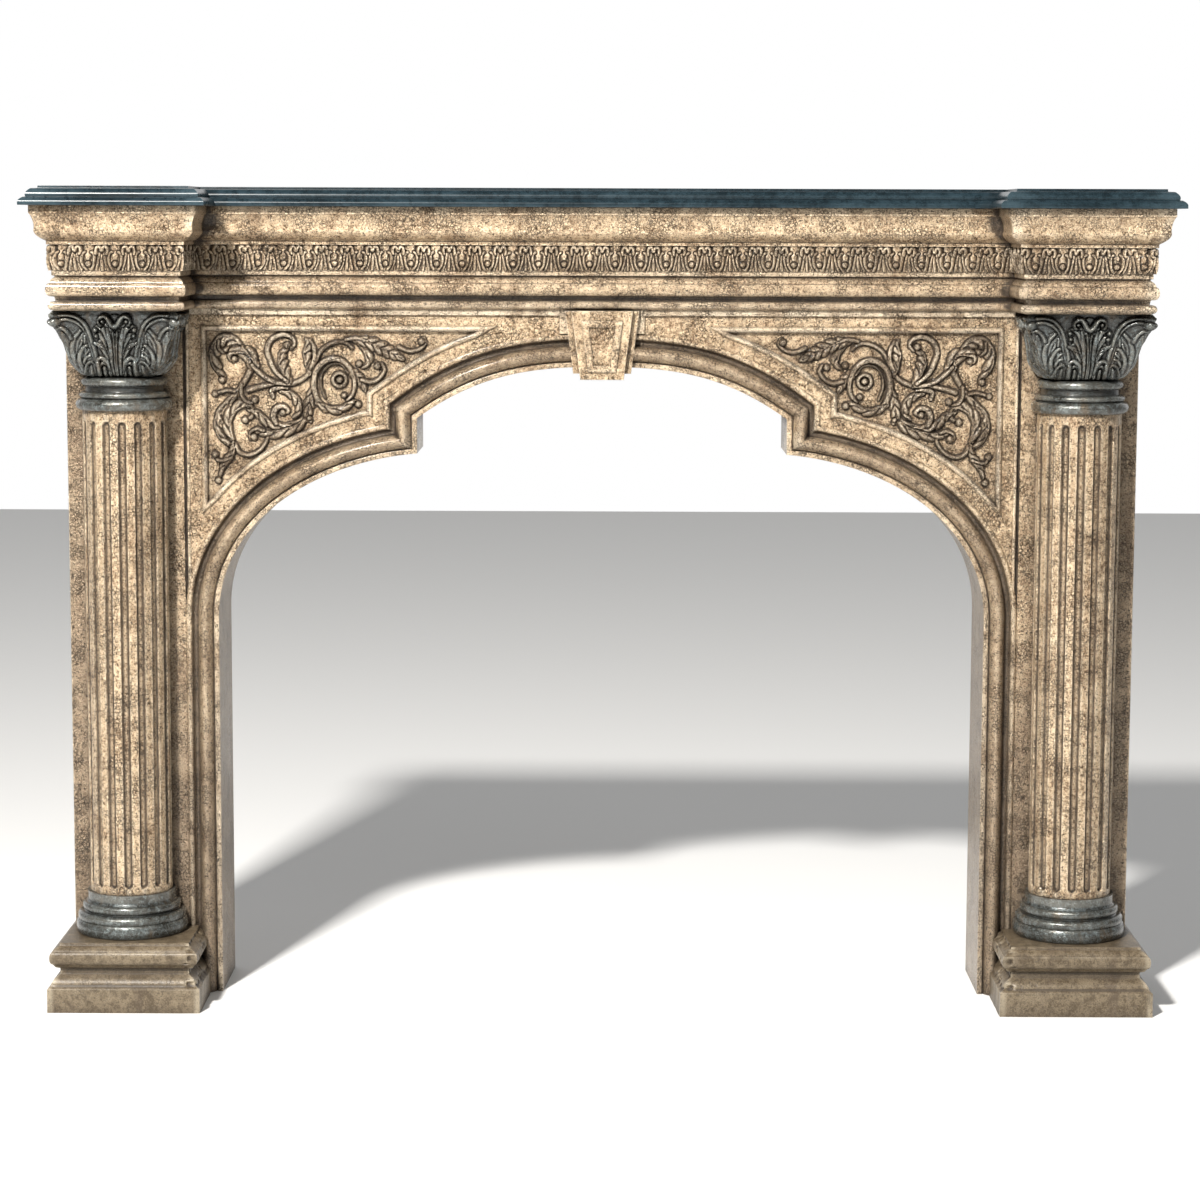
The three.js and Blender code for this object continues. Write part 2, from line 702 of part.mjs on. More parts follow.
// Plan of the bell at a share of its rise: four faces between four corners, with the leaves standing proud
function bellPlan(rise, square, horn, relief) {
  const swelling = Math.min(1, rise / 0.25) ** 0.6;
  const face = bellFootRadius + (bellWaist - bellFootRadius) * swelling + (bellHead - bellWaist) * rise;
  const ground = face - leafProud;
  const corner = face * (Math.SQRT1_2 + (1 - Math.SQRT1_2) * square) + hornReach * horn;
  const halfFace = climbingLines.map(({ foot, middle, head, proud }) => {
    const share = rise < 0.5
      ? foot + (middle - foot) * rise * 2
      : middle + (head - middle) * (rise * 2 - 1) ** 1.4;
    return [corner * share, ground + (corner - ground) * share ** 2 + leafProud * proud * relief];
  });
  const otherHalf = halfFace.slice(1).reverse().map(([side, out]) => [-side, out]);
  const wholeFace = [[-corner, corner], ...otherHalf, ...halfFace];
  return [0, 1, 2, 3].flatMap((quarter) => {
    const [c, n] = [Math.cos(quarter * Math.PI / 2), Math.sin(quarter * Math.PI / 2)];
    return wholeFace.map(([side, out]) => [-columnX + side * c + out * n, columnY + side * n - out * c]);
  });
}

// The bell grows from the round neck to a square head with a horn at each corner
function bellSolid(bellFoot) {
  return stack(bellRises.map((rise, i) => {
    const atHead = i === bellRises.length - 1;
    const horn = Math.max(0, (rise - 0.5) / 0.43) * (atHead ? 0.4 : 1);
    const plan = bellPlan(rise, rise ** 0.6, horn, i === 0 || atHead ? 0.3 : 1);
    return { z: bellFoot + rise * (capitalTop - bellFoot), plan };
  }));
}

function capitalSolid() {
  const r = neckRadius;
  const rings = profile(r + 9, capitalFoot)
    .roll(0.36 * capitalRingsHeight, r + 17, r + 6, 3)
    .roll(0.2 * capitalRingsHeight, r + 11, r + 1, 2)
    .to(0.16 * capitalRingsHeight, r)
    .roll(0.28 * capitalRingsHeight, r + 8, r - 3, 3);
  const bellFoot = rings.points.at(-1)[1];
  rings.to(2, bellFootRadius - leafProud);
  return frontOfPanel(joined([turned(rings.points), bellSolid(bellFoot)]));
}

function plinthSolid() {
  const outer = half - plinthSetback;
  const inner = outer - plinthWidth;
  const back = panelFace - jointGap;
  const pilaster = -(half - pilasterSetback + jointGap);
  const front = panelFace - plinthReach;
  const edge = profile(0, 0)
    .to(0.35 * plinthHeight, 0).to(3, 4).to(3, 6).bow(0.11 * plinthHeight, 15, -2).to(4, 20)
    .to(0.08 * plinthHeight, 20).to(3, 13).to(0.05 * plinthHeight, 9).roll(0.18 * plinthHeight, 4, 8)
    .bow(0.08 * plinthHeight, 19, -1.5, 2);
  edge.points.push([20, plinthHeight]);
  return stack(edge.points.map(([inset, z]) => ({
    z,
    plan: [[-outer + inset, 0], [-outer + inset, front + inset], [-inner - inset, front + inset],
      [-inner - inset, back], [pilaster, back], [pilaster, 0]],
  })));
}

// Finishes

function finish(color, roughness, metalness) {
  return () => new THREE.MeshStandardMaterial({ color, roughness, metalness });
}

const gilt = finish(0xb99668, 0.55, 0.2);
const verdigris = finish(0x50564e, 0.4, 0.3);
const slate = finish(0x22343a, 0.25, 0);
const buff = finish(0x97795d, 0.6, 0);

// Assembly

const mantel = new THREE.Group();
mantel.position.y = shelfDepth / 2;

function place(name, solid, material) {
  const mesh = new THREE.Mesh(geometryOf(solid), material());
  mesh.name = name;
  mantel.add(mesh);
}

place("shelf", shelfSolid(), slate);
place("entablature", entablatureSolid(), gilt);
place("arch_surround", surroundSolid(), gilt);
place("keystone", keystoneSolid(), gilt);

const pairs = [
  ["capital", capitalSolid(), verdigris],
  ["shaft", shaftSolid(), gilt],
  ["column_base", baseSolid(), verdigris],
  ["plinth", plinthSolid(), buff],
];
for (const [name, solid, material] of pairs) {
  place(`left_${name}`, solid, material);
  place(`right_${name}`, mirrorX(solid), material);
}

export default mantel;
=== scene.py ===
import math

import bpy
import numpy as np
from mathutils import Matrix, Vector
from mathutils.geometry import tessellate_polygon


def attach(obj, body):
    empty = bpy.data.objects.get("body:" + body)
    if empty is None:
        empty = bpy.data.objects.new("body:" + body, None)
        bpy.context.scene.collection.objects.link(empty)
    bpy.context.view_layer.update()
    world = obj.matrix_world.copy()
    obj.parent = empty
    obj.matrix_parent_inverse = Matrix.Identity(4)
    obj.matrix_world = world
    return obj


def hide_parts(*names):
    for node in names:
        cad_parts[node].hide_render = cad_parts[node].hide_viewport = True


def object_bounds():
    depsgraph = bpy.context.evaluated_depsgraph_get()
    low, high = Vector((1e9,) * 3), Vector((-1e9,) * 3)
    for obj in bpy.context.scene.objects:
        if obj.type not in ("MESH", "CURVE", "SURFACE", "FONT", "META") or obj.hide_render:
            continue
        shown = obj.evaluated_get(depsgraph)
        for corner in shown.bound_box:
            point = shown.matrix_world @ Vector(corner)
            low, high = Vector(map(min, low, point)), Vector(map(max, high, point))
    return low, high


# Fireplace mantel, dressed over its CAD frame.
# Lengths are millimetres: x from the middle, y from the wall (the front is negative), z from the floor.
# They turn into metres, in the frame's own place, when a mesh is made.

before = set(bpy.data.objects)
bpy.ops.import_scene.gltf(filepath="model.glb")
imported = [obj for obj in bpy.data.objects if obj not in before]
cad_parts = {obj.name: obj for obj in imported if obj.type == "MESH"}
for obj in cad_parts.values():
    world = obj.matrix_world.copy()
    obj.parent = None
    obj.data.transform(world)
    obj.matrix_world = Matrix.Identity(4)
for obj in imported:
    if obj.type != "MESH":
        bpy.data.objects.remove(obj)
cadLow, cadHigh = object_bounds()
wallPlace = cadHigh.y * 1000
print("frame loaded")

look = {
    "lens": 93.0, "frameWidth": 36.0,     # millimetres
    "cameraPlace": (0.0141, -5.2511, 1.3289), "turnLeft": 0.177, "pitchDown": 6.965, "lean": 0.197,
    # each lamp's turn, rise, distance, size, watts and colour
    "keyLight": (23.0, 38.0, 6.5, 0.5, 860.0, (1.0, 0.97, 0.93)),
    "fillLight": (-52.0, 24.0, 6.0, 2.6, 26.0, (0.93, 0.96, 1.0)),
    "lampsAimAt": (0, 0, 0.75),
    # the pale wall far behind is brighter than the room, and fades into it between two directions
    "roomStrength": 0.21, "backdropStrength": 1.0, "fadeFrom": 0.35, "fadeTo": 0.85,
    "floorColour": (0.86, 0.86, 0.85, 1), "floorRough": 0.7, "floorHalf": 9.0,
}


def linked(name, data):
    made = bpy.data.objects.new(name, data)
    bpy.context.scene.collection.objects.link(made)
    return made


def nodeMaker(tree):             # adds a node by its kind, with its inputs and settings
    def node(kind, inputs=(), **settings):
        made = tree.nodes.new("ShaderNode" + kind)
        for key, value in settings.items():
            setattr(made, key, value)
        for key, value in dict(inputs).items():
            if isinstance(value, bpy.types.NodeSocket):
                tree.links.new(value, made.inputs[key])
            else:
                made.inputs[key].default_value = value
        return made

    return node


def setCamera(look):
    data = bpy.data.cameras.new("photoCamera")
    data.lens, data.sensor_width, data.clip_end = look["lens"], look["frameWidth"], 100
    place = Matrix.Translation(look["cameraPlace"])
    for angle, axis in ((look["turnLeft"], "Z"), (90 - look["pitchDown"], "X"), (look["lean"], "Z")):
        place = place @ Matrix.Rotation(math.radians(angle), 4, axis)
    camera = linked("photoCamera", data)
    camera.matrix_world = place
    bpy.context.scene.camera = camera


def addLamp(look, name):
    turn, rise, far, size, watts, colour = look[name]
    turn, rise = math.radians(turn), math.radians(rise)
    away = Vector((-math.sin(turn) * math.cos(rise), -math.cos(turn) * math.cos(rise), math.sin(rise)))
    data = bpy.data.lights.new(name, "AREA")
    data.size, data.energy, data.color = size, watts, colour
    place = Matrix.Translation(Vector(look["lampsAimAt"]) + away * far)
    linked(name, data).matrix_world = place @ (-away).to_track_quat("-Z", "Y").to_matrix().to_4x4()


def setRoom(look):
    sky = bpy.data.worlds.new("paleRoom")
    sky.use_nodes = True
    node = nodeMaker(sky.node_tree)
    towards = node("SeparateXYZ", {0: node("TexCoord").outputs["Generated"]}).outputs["Y"]
    fade = node("MapRange", {"Value": towards, "From Min": look["fadeFrom"], "From Max": look["fadeTo"],
                             "To Min": look["roomStrength"], "To Max": look["backdropStrength"]},
                interpolation_type="SMOOTHSTEP")
    room = sky.node_tree.nodes["Background"]
    room.inputs["Color"].default_value = (1, 1, 1, 1)
    sky.node_tree.links.new(fade.outputs[0], room.inputs["Strength"])
    bpy.context.scene.world = sky
    bpy.context.scene.view_settings.view_transform = "Standard"
    bpy.context.scene.view_settings.look = "None"


setCamera(look)
addLamp(look, "keyLight")
addLamp(look, "fillLight")
setRoom(look)
print("camera and light set")


# Curves, swells and small sums

def smoothStep(low, high, x):
    t = np.clip((x - low) / (high - low), 0, 1)
    return t * t * (3 - 2 * t)


def swells(co, size, seed):      # smooth hand-made unevenness, about -1 to 1
    draw = np.random.default_rng(seed)
    total = np.zeros(len(co))
    for _ in range(7):
        way = draw.normal(size=3)
        way /= np.linalg.norm(way)
        pace = 2 * math.pi / size * (0.6 + 0.8 * draw.random())
        total += np.sin(co @ way * pace + draw.random() * 6.28)
    return total / 3.5


def cubicCurve(a, b, c, d, steps):
    t = np.linspace(0, 1, steps + 1)[:, None]
    a, b, c, d = (np.array(p, float) for p in (a, b, c, d))
    return a * (1 - t) ** 3 + 3 * b * t * (1 - t) ** 2 + 3 * c * t * t * (1 - t) + d * t ** 3


class Profile:                   # [setting-out, height] points drawn upwards
    def __init__(self, out, z):
        self.points = [(out, z)]

    def to(self, rise, end):
        self.points.append((end, self.points[-1][1] + rise))
        return self

    def roll(self, rise, crest, end, steps=14):
        start, low = self.points[-1]
        for i in range(1, steps + 1):
            turn = math.pi * i / steps
            side = start if turn < math.pi / 2 else end
            reach = 0 if i == steps else math.sin(turn)
            self.points.append((side + (crest - side) * reach, low + rise * (1 - math.cos(turn)) / 2))
        return self

    def bow(self, rise, end, swell, steps=9):
        start, low = self.points[-1]
        for i in range(1, steps + 1):
            share = i / steps
            lift = 4 * swell * share * (1 - share)
            self.points.append((start + (end - start) * share + lift, low + rise * share))
        return self

    def eased(self, radius):
        return easedLine(np.array(self.points), radius)


def easedLine(points, radius, sharp=28):    # a small round on each corner sharper than so many degrees
    out = [points[0]]
    for before, here, after in zip(points[:-2], points[1:-1], points[2:]):
        back, on = before - here, after - here
        backLong, onLong = np.linalg.norm(back), np.linalg.norm(on)
        bend = 180 - math.degrees(math.acos(np.clip(back @ on / (backLong * onLong), -1, 1)))
        if bend < sharp:
            out.append(here)
            continue
        r = min(radius, 0.45 * backLong, 0.45 * onLong)
        p, q = here + back / backLong * r, here + on / onLong * r
        out += [p, 0.5625 * here + 0.28125 * p + 0.15625 * q, 0.5625 * here + 0.15625 * p + 0.28125 * q, q]
    out.append(points[-1])
    return np.array(out)


def offsetLine(line, distance, closed=False):    # moved to the left of its direction, with mitred corners
    before = np.roll(line, 1, 0)
    after = np.roll(line, -1, 0)
    if not closed:
        before[0] = 2 * line[0] - line[1]
        after[-1] = 2 * line[-1] - line[-2]

    def left(a, b):
        d = b - a
        n = np.stack([-d[:, 1], d[:, 0]], 1)
        return n / np.linalg.norm(n, axis=1)[:, None]

    n1, n2 = left(before, line), left(line, after)
    mitre = (n1 + n2) / (1 + (n1 * n2).sum(1))[:, None]
    return line + mitre * distance


def spaced(line, step, closed=False):     # points added along the straight runs of a line
    ends = np.vstack([line[1:], line[:1]]) if closed else line[1:]
    out = []
    for a, b in zip(line, ends):
        count = max(1, round(np.linalg.norm(b - a) / step))
        out += [a + (b - a) * i / count for i in range(count)]
    if not closed:
        out.append(line[-1])
    return np.array(out)


# Sheets of faces, as (points, faces)

def gridSheet(points, wrap=False):
    rows, columns = points.shape[:2]
    index = np.arange(rows * columns).reshape(rows, columns)
    if wrap:
        index = np.hstack([index, index[:, :1]])
    quads = np.stack([index[:-1, :-1], index[:-1, 1:], index[1:, 1:], index[1:, :-1]], -1).reshape(-1, 4)
    return points.reshape(-1, 3), [quads]


def flatSheet(outlines, depth, front=True):     # a flat face in x and z with holes, at one depth
    loops = [[Vector((x, z, 0)) for x, z in outline] for outline in outlines]
    flat = np.vstack([np.asarray(outline) for outline in outlines])
    triangles = np.array(tessellate_polygon(loops))
    corners = flat[triangles]
    edgeA, edgeB = corners[:, 1] - corners[:, 0], corners[:, 2] - corners[:, 0]
    turn = edgeA[:, 0] * edgeB[:, 1] - edgeA[:, 1] * edgeB[:, 0]
    triangles = triangles[np.abs(turn) > 1e-6]
    turn = turn[np.abs(turn) > 1e-6]
    wrong = turn < 0 if front else turn > 0
    triangles[wrong] = triangles[wrong][:, ::-1]
    return standing(flat, depth), [triangles]


def polygonSheet(points, flip=False):
    order = np.arange(len(points))
    return np.asarray(points, float), [(order[::-1] if flip else order)[None]]


def levelSheet(plan, z, flip=False):     # a level face over a line in x and y
    return polygonSheet([(x, y, z) for x, y in plan], flip)


def wallSheet(plan, heights):    # upright faces along a line in x and y
    return gridSheet(np.array([[(x, y, z) for x, y in plan] for z in heights], float))


def standing(line, y):           # a line in x and z, stood up at a depth
    return np.stack(np.broadcast_arrays(line[:, 0], y, line[:, 1]), 1)


def sweptMould(path, section):   # all round a line; the section is sideways and proud of the panel
    rows = [standing(offsetLine(path, sideways, True), panelFace - proud) for sideways, proud in section]
    return gridSheet(np.array(rows), wrap=True)


def mirroredSheet(sheet):
    points, faces = sheet
    return points * [-1, 1, 1], [block[:, ::-1] for block in faces]


def bothSides(sheets):
    return sheets + [mirroredSheet(sheet) for sheet in sheets]


def frontOnly(sheet):            # what lies wholly inside the panel behind is left off
    points, faces = sheet
    return points, [block[(points[block][:, :, 1] < hidden).any(1)] for block in faces]


def meshNumbers(items, key, kind, wide):
    numbers = np.empty(len(items) * wide, kind)
    items.foreach_get(key, numbers)
    return numbers.reshape(-1, wide)


def hollowness(mesh, gain=2.6):      # 0.5 on the flat, more in a hollow, less on an edge
    count = len(mesh.vertices)
    co = meshNumbers(mesh.vertices, "co", float, 3)
    normals = meshNumbers(mesh.vertices, "normal", float, 3)
    a, b = meshNumbers(mesh.edges, "vertices", int, 2).T
    degree = np.bincount(np.concatenate([a, b]), minlength=count).clip(1)
    way = co[b] - co[a]
    way /= np.linalg.norm(way, axis=1).clip(1e-9)[:, None]
    lift = np.bincount(a, (way * normals[a]).sum(1), count) - np.bincount(b, (way * normals[b]).sum(1), count)
    lift = lift / degree
    for _ in range(2):               # evened out over the points beside
        beside = (np.bincount(a, lift[b], count) + np.bincount(b, lift[a], count)) / degree
        lift = 0.5 * lift + 0.5 * beside
    return np.clip(0.5 + gain * lift, 0, 1)


def makePiece(name, sheets, material, nodes, sharp=42, tarnishAndShade=None):
    points = np.vstack([sheet[0] for sheet in sheets])
    starts = np.cumsum([0] + [len(sheet[0]) for sheet in sheets])
    blocks = [block + start for sheet, start in zip(sheets, starts) for block in sheet[1]]
    used = np.zeros(len(points), bool)       # points that no face has are left out
    for block in blocks:
        used[block] = True
    points, renumbered = points[used], np.cumsum(used) - 1
    faces = [face for block in blocks for face in renumbered[block].tolist()]
    mesh = bpy.data.meshes.new(name)
    mesh.from_pydata((points + [0, wallPlace, 0]) / 1000, [], faces)
    mesh.validate()
    mesh.set_sharp_from_angle(angle=math.radians(sharp))
    hollow = mesh.attributes.new("hollow", "FLOAT", "POINT")
    hollow.data.foreach_set("value", hollowness(mesh))
    tarnishAndShadeLayer = mesh.attributes.new("tarnishAndShade", "FLOAT", "POINT")
    if tarnishAndShade:
        tarnishAndShadeLayer.data.foreach_set("value", tarnishAndShade(points))
    mesh.materials.append(material)
    piece = linked(name, mesh)
    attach(piece, "root")
    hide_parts(*nodes)
    print("made", name, sum(len(face) - 2 for face in faces), "triangles")


# Finishes: a mottled body under run marks, tarnish with painted shade, dirt in the hollows with painted shade
# from ambient occlusion, rubbed edges, cracks and flecks

agedFinish = {       # what every finish has unless it says otherwise; a range goes from none to all
    "mottleMix": (0.2, 0.4, 0.4), "mottleRange": (0.42, 0.58), "runRange": (0.52, 0.7), "dirtAndShadeAmount": 1.0,
    "hollowRange": (0.515, 0.72), "shadeRange": (0.2, 0.74), "edgeRange": (0.2, 0.47), "rubRange": (0.3, 0.6),
    "crackRange": (0.42, 0.6), "fleckRange": 0.06, "markRelief": 0.6, "dirtAndShadeRough": 0.2,
    "bump": (0.6, 0.0015), "specular": 0.5, "metallic": 0.5,
}
# Besides its colours, each finish has
# scales: of the broad mottling, the fine, the specks and the run marks
# cracks: scale, width and amount; flecks: where they set in, and amount
# relief: of the fine mottling and the specks; bump: strength and reach
# rough: lowest and spread; coat: weight and roughness


def newMaterial(name):
    material = bpy.data.materials.new(name)
    material.use_nodes = True
    material.node_tree.nodes.clear()
    return material, nodeMaker(material.node_tree)


def makeFinish(name, changes):
    use = agedFinish | changes
    material, node = newMaterial(name)
    place = node("TexCoord").outputs["Object"]
    hollow, tarnishAndShade = (node("Attribute", attribute_name=key).outputs["Fac"] for key in ("hollow", "tarnishAndShade"))

    def noise(scale, detail=5.0, rough=0.6, warp=0.0, vector=place):
        return node("TexNoise", {"Vector": vector, "Scale": scale, "Detail": detail, "Roughness": rough,
                                 "Distortion": warp}).outputs["Fac"]

    def sums(operation):
        return lambda a, b: node("Math", {0: a, 1: b}, operation=operation).outputs[0]

    def rising(value, low, high):
        return node("MapRange", {"Value": value, "From Min": low, "From Max": high},
                    interpolation_type="SMOOTHSTEP").outputs["Result"]

    def laidOver(colour, amount, tone):
        return node("Mix", {0: amount, 6: colour, 7: (*use[tone], 1)}, data_type="RGBA").outputs[2]

    plus, less, times, most = (sums(kind) for kind in ("ADD", "SUBTRACT", "MULTIPLY", "MAXIMUM"))
    broadScale, fineScale, speckScale, runScale = use["scales"]
    broad = noise(broadScale, 6, 0.65, 0.4)
    fine = noise(fineScale, 8, 0.7)
    speck = noise(speckScale, 3)
    stretched = node("Mapping", {"Vector": place, "Scale": use["runStretch"]}).outputs["Vector"]
    runs = noise(runScale, warp=0.2, vector=stretched)
    shares = use["mottleMix"]
    mottle = plus(plus(times(broad, shares[0]), times(fine, shares[1])), times(speck, shares[2]))

    ramp = node("ValToRGB", {"Fac": rising(mottle, *use["mottleRange"])})
    stops = ramp.color_ramp.elements
    stops.new(0.5)
    for stop, (at, tone) in zip(stops, use["body"]):
        stop.position, stop.color = at, (*tone, 1)
    colour = laidOver(ramp.outputs["Color"], times(rising(runs, *use["runRange"]), use["runAmount"]), "run")
    # the attribute is what each piece sets: real tarnish and grime, and on the surround painted shade in the
    # recesses and low down
    colour = laidOver(colour, times(tarnishAndShade, plus(times(fine, 0.7), 0.45)), "tarnishAndShade")

    # painted shade: ambient occlusion darkens where other faces close in; it is laid in the patina tone
    # together with the dirt of the hollows
    shade = node("AmbientOcclusion", {"Distance": use["shadeReach"]}, samples=1).outputs["AO"]
    dirtAndShade = most(rising(hollow, *use["hollowRange"]), less(1.0, rising(shade, *use["shadeRange"])))
    dirtAndShade = times(dirtAndShade, plus(times(fine, 0.9), 0.45))
    dirtAndShade = node("Math", {0: dirtAndShade, 1: use["dirtAndShadeAmount"]}, operation="MULTIPLY", use_clamp=True).outputs[0]
    colour = laidOver(colour, dirtAndShade, "patinaAndShade")
    rubbed = times(rising(broad, *use["rubRange"]), use["rubAmount"])
    colour = laidOver(colour, times(less(1.0, rising(hollow, *use["edgeRange"])), rubbed), "rub")

    crackScale, crackWidth, crackAmount = use["cracks"]
    cells = node("TexVoronoi", {"Vector": place, "Scale": crackScale, "Randomness": 1.0},
                 feature="DISTANCE_TO_EDGE").outputs["Distance"]
    patches = rising(noise(broadScale * 1.7), *use["crackRange"])
    cracks = times(less(1.0, rising(cells, 0.0, crackWidth)), patches)
    fleckFrom, fleckAmount = use["flecks"]
    flecks = rising(speck, fleckFrom, fleckFrom + use["fleckRange"])
    marks = most(times(cracks, crackAmount), times(flecks, fleckAmount))
    colour = laidOver(colour, marks, "patinaAndShade")

    relief = less(times(fine, use["relief"][0]), times(marks, use["markRelief"]))
    relief = plus(relief, times(speck, use["relief"][1]))
    bump = node("Bump", {"Strength": use["bump"][0], "Distance": use["bump"][1], "Height": relief})
    rough = plus(plus(times(fine, use["rough"][1]), use["rough"][0]), times(dirtAndShade, use["dirtAndShadeRough"]))
    shader = node("BsdfPrincipled", {
        "Base Color": colour, "Roughness": rough, "Normal": bump.outputs["Normal"],
        "Metallic": use["metallic"], "Specular IOR Level": use["specular"],
        "Coat Weight": use["coat"][0], "Coat Roughness": use["coat"][1]})
    node("OutputMaterial", {"Surface": shader.outputs[0]})
    return material


giltFinish = makeFinish("antiqueGilt", {
    "body": [(0.0, (0.16, 0.10, 0.054)), (0.25, (0.47, 0.338, 0.208)), (1.0, (0.76, 0.60, 0.405))],
    "run": (0.18, 0.10, 0.046), "tarnishAndShade": (0.185, 0.138, 0.095), "patinaAndShade": (0.026, 0.017, 0.011),
    "rub": (0.84, 0.74, 0.58), "rubAmount": 0.42, "runAmount": 0.42, "runStretch": (1, 1, 0.1),
    "scales": (15.0, 160.0, 330.0, 30.0), "shadeReach": 0.026, "cracks": (185.0, 0.12, 0.85),
    "flecks": (0.57, 0.9), "relief": (0.8, 0.8), "bump": (1.0, 0.0026), "rough": (0.17, 0.26),
    "coat": (0.25, 0.2),
})

verdigrisFinish = makeFinish("verdigris", {
    "body": [(0.0, (0.028, 0.026, 0.02)), (0.5, (0.066, 0.073, 0.07)), (1.0, (0.15, 0.178, 0.18))],
    "run": (0.10, 0.066, 0.034), "tarnishAndShade": (0.05, 0.05, 0.045), "patinaAndShade": (0.01, 0.009, 0.007),
    "rub": (0.27, 0.26, 0.225), "rubAmount": 0.45, "runAmount": 0.7, "runStretch": (1, 1, 0.4),
    "scales": (22.0, 130.0, 360.0, 34.0), "shadeReach": 0.014, "cracks": (170.0, 0.07, 0.35),
    "flecks": (0.59, 0.6), "relief": (0.8, 0.6), "rough": (0.14, 0.24), "coat": (0.5, 0.16),
})

slateFinish = makeFinish("polishedSlate", {
    "body": [(0.0, (0.004, 0.009, 0.012)), (0.5, (0.008, 0.018, 0.024)), (1.0, (0.018, 0.034, 0.044))],
    "run": (0.004, 0.008, 0.01), "tarnishAndShade": (0.01, 0.02, 0.025), "patinaAndShade": (0.003, 0.005, 0.006),
    "rub": (0.07, 0.11, 0.13), "rubAmount": 0.3, "runAmount": 0.6, "runStretch": (0.06, 1, 1),
    "scales": (9.0, 60.0, 600.0, 60.0), "shadeReach": 0.012, "dirtAndShadeAmount": 0.35,
    "cracks": (18.0, 0.012, 0.12), "flecks": (0.68, 0.25), "relief": (0.5, 0.1), "bump": (0.12, 0.0006),
    "rough": (0.2, 0.16), "specular": 0.25, "metallic": 0.0, "coat": (0.08, 0.2),
})

buffFinish = makeFinish("buffStone", {
    "body": [(0.0, (0.07, 0.05, 0.028)), (0.5, (0.13, 0.098, 0.06)), (1.0, (0.20, 0.156, 0.10))],
    "run": (0.07, 0.048, 0.031), "tarnishAndShade": (0.12, 0.095, 0.07), "patinaAndShade": (0.034, 0.024, 0.015),
    "rub": (0.44, 0.38, 0.28), "rubAmount": 0.5, "runAmount": 0.45, "runStretch": (1, 1, 0.15),
    "scales": (14.0, 80.0, 300.0, 34.0), "shadeReach": 0.025, "dirtAndShadeAmount": 0.9,
    "cracks": (120.0, 0.07, 0.45), "flecks": (0.575, 0.55), "relief": (0.8, 0.5), "rough": (0.32, 0.22),
    "specular": 0.4, "metallic": 0.05, "coat": (0.1, 0.35),
})
print("finishes made")


# Setting out shared by the pieces

halfLong, fullDepth = 950.0, 366.0       # the shelf's plan, with its middle set back between the two ends
endWidth, recess = 303.0, 140.0
panelHalf, panelFace = 909.0, -172.0
surroundTop, entablatureFoot, corniceFoot, entablatureTop, shelfFoot = 1170.3, 1170.6, 1179.5, 1352.0, 1352.3
columnMiddle = (-806.0, -200.0)
hidden = panelFace + 4                   # what a column has behind this is inside the panel


def steppedCorners(inset):       # the shelf's plan set in by a distance
    inset = np.asarray(inset, float)
    outer, inner = halfLong - inset, halfLong - endWidth + inset
    front, middle = inset - fullDepth, inset - (fullDepth - recess)
    wall = np.zeros_like(inset)
    x = [-outer, -outer, -inner, -inner, inner, inner, outer, outer]
    y = [wall, front, front, middle, middle, front, front, wall]
    return np.stack([np.stack(x, -1), np.stack(y, -1)], -1)


def steppedStations(spacing, inset=30):      # which side of the plan, and how far along it
    corners = steppedCorners(inset)
    sides, shares = [], []
    for side in range(7):
        count = max(2, round(np.linalg.norm(corners[side + 1] - corners[side]) / spacing))
        sides += [side] * count
        shares += [i / count for i in range(count)]
    return np.array(sides + [6]), np.array(shares + [1.0])


def steppedPoints(insets, heights, sides, shares):
    corners = steppedCorners(insets)
    rows = np.arange(insets.shape[0])[:, None]
    if insets.ndim == 1:
        a, b = corners[rows, sides[None]], corners[rows, sides[None] + 1]
    else:
        columns = np.arange(insets.shape[1])[None]
        a, b = corners[rows, columns, sides[None]], corners[rows, columns, sides[None] + 1]
    plan = a + (b - a) * shares[None, :, None]
    z = np.broadcast_to(heights.reshape(len(heights), -1), plan.shape[:2])
    return np.concatenate([plan, z[..., None]], -1)


def steppedSheets(profile, spacing, uneven=0.0, seed=0, caps=(True, True)):
    sides, shares = steppedStations(spacing)
    insets = np.repeat(profile[:, :1], len(sides), 1)
    flat = steppedPoints(profile[:, 0], profile[:, 1], sides, shares)
    if uneven:
        swell = swells(flat.reshape(-1, 3), 160, seed).reshape(insets.shape) * uneven
        insets = insets + np.where(flat[..., 1] > -1, 0, np.abs(swell))     # none at the wall
    points = steppedPoints(insets, profile[:, 1], sides, shares)
    sheets = [gridSheet(points)]
    if caps[0]:
        sheets.append(polygonSheet(points[0], flip=True))
    if caps[1]:
        sheets.append(polygonSheet(points[-1]))
    back = np.vstack([points[:, 0], points[::-1, -1]])
    sheets.append(polygonSheet(back, flip=True))
    return sheets


# Shelf: a polished slab with two small mouldings under a thin top

shelf = {"lipHeight": 5.0, "rollHeight": 8.0, "rollInset": 7.5, "rollSwell": -1.8, "stepInset": 11.5,
         "coveHeight": 13.5, "coveInset": 18.5, "coveSwell": -3.4, "topInset": 28.5, "topHeight": 4.6,
         "filletHeight": 0.6, "edgeRound": 0.9, "spacing": 26}


def makeShelf(shelf):
    topInset, fillet = shelf["topInset"], shelf["filletHeight"]
    edge = Profile(0, shelfFoot).to(shelf["lipHeight"], 0)
    edge.bow(shelf["rollHeight"], shelf["rollInset"], shelf["rollSwell"]).to(fillet, shelf["stepInset"])
    edge.bow(shelf["coveHeight"], shelf["coveInset"], shelf["coveSwell"]).to(fillet, topInset)
    edge.to(shelf["topHeight"] - fillet, topInset).to(0.0001, topInset + 3)
    line = edge.eased(shelf["edgeRound"])
    line = easedLine(np.vstack([[[3, line[0, 1] - 0.0001]], line]), shelf["edgeRound"])
    makePiece("slateShelf", steppedSheets(line, shelf["spacing"]), slateFinish, ["shelf"])


makeShelf(shelf)


# Carved relief: strokes and leaves laid over each other, each with a cut line round it

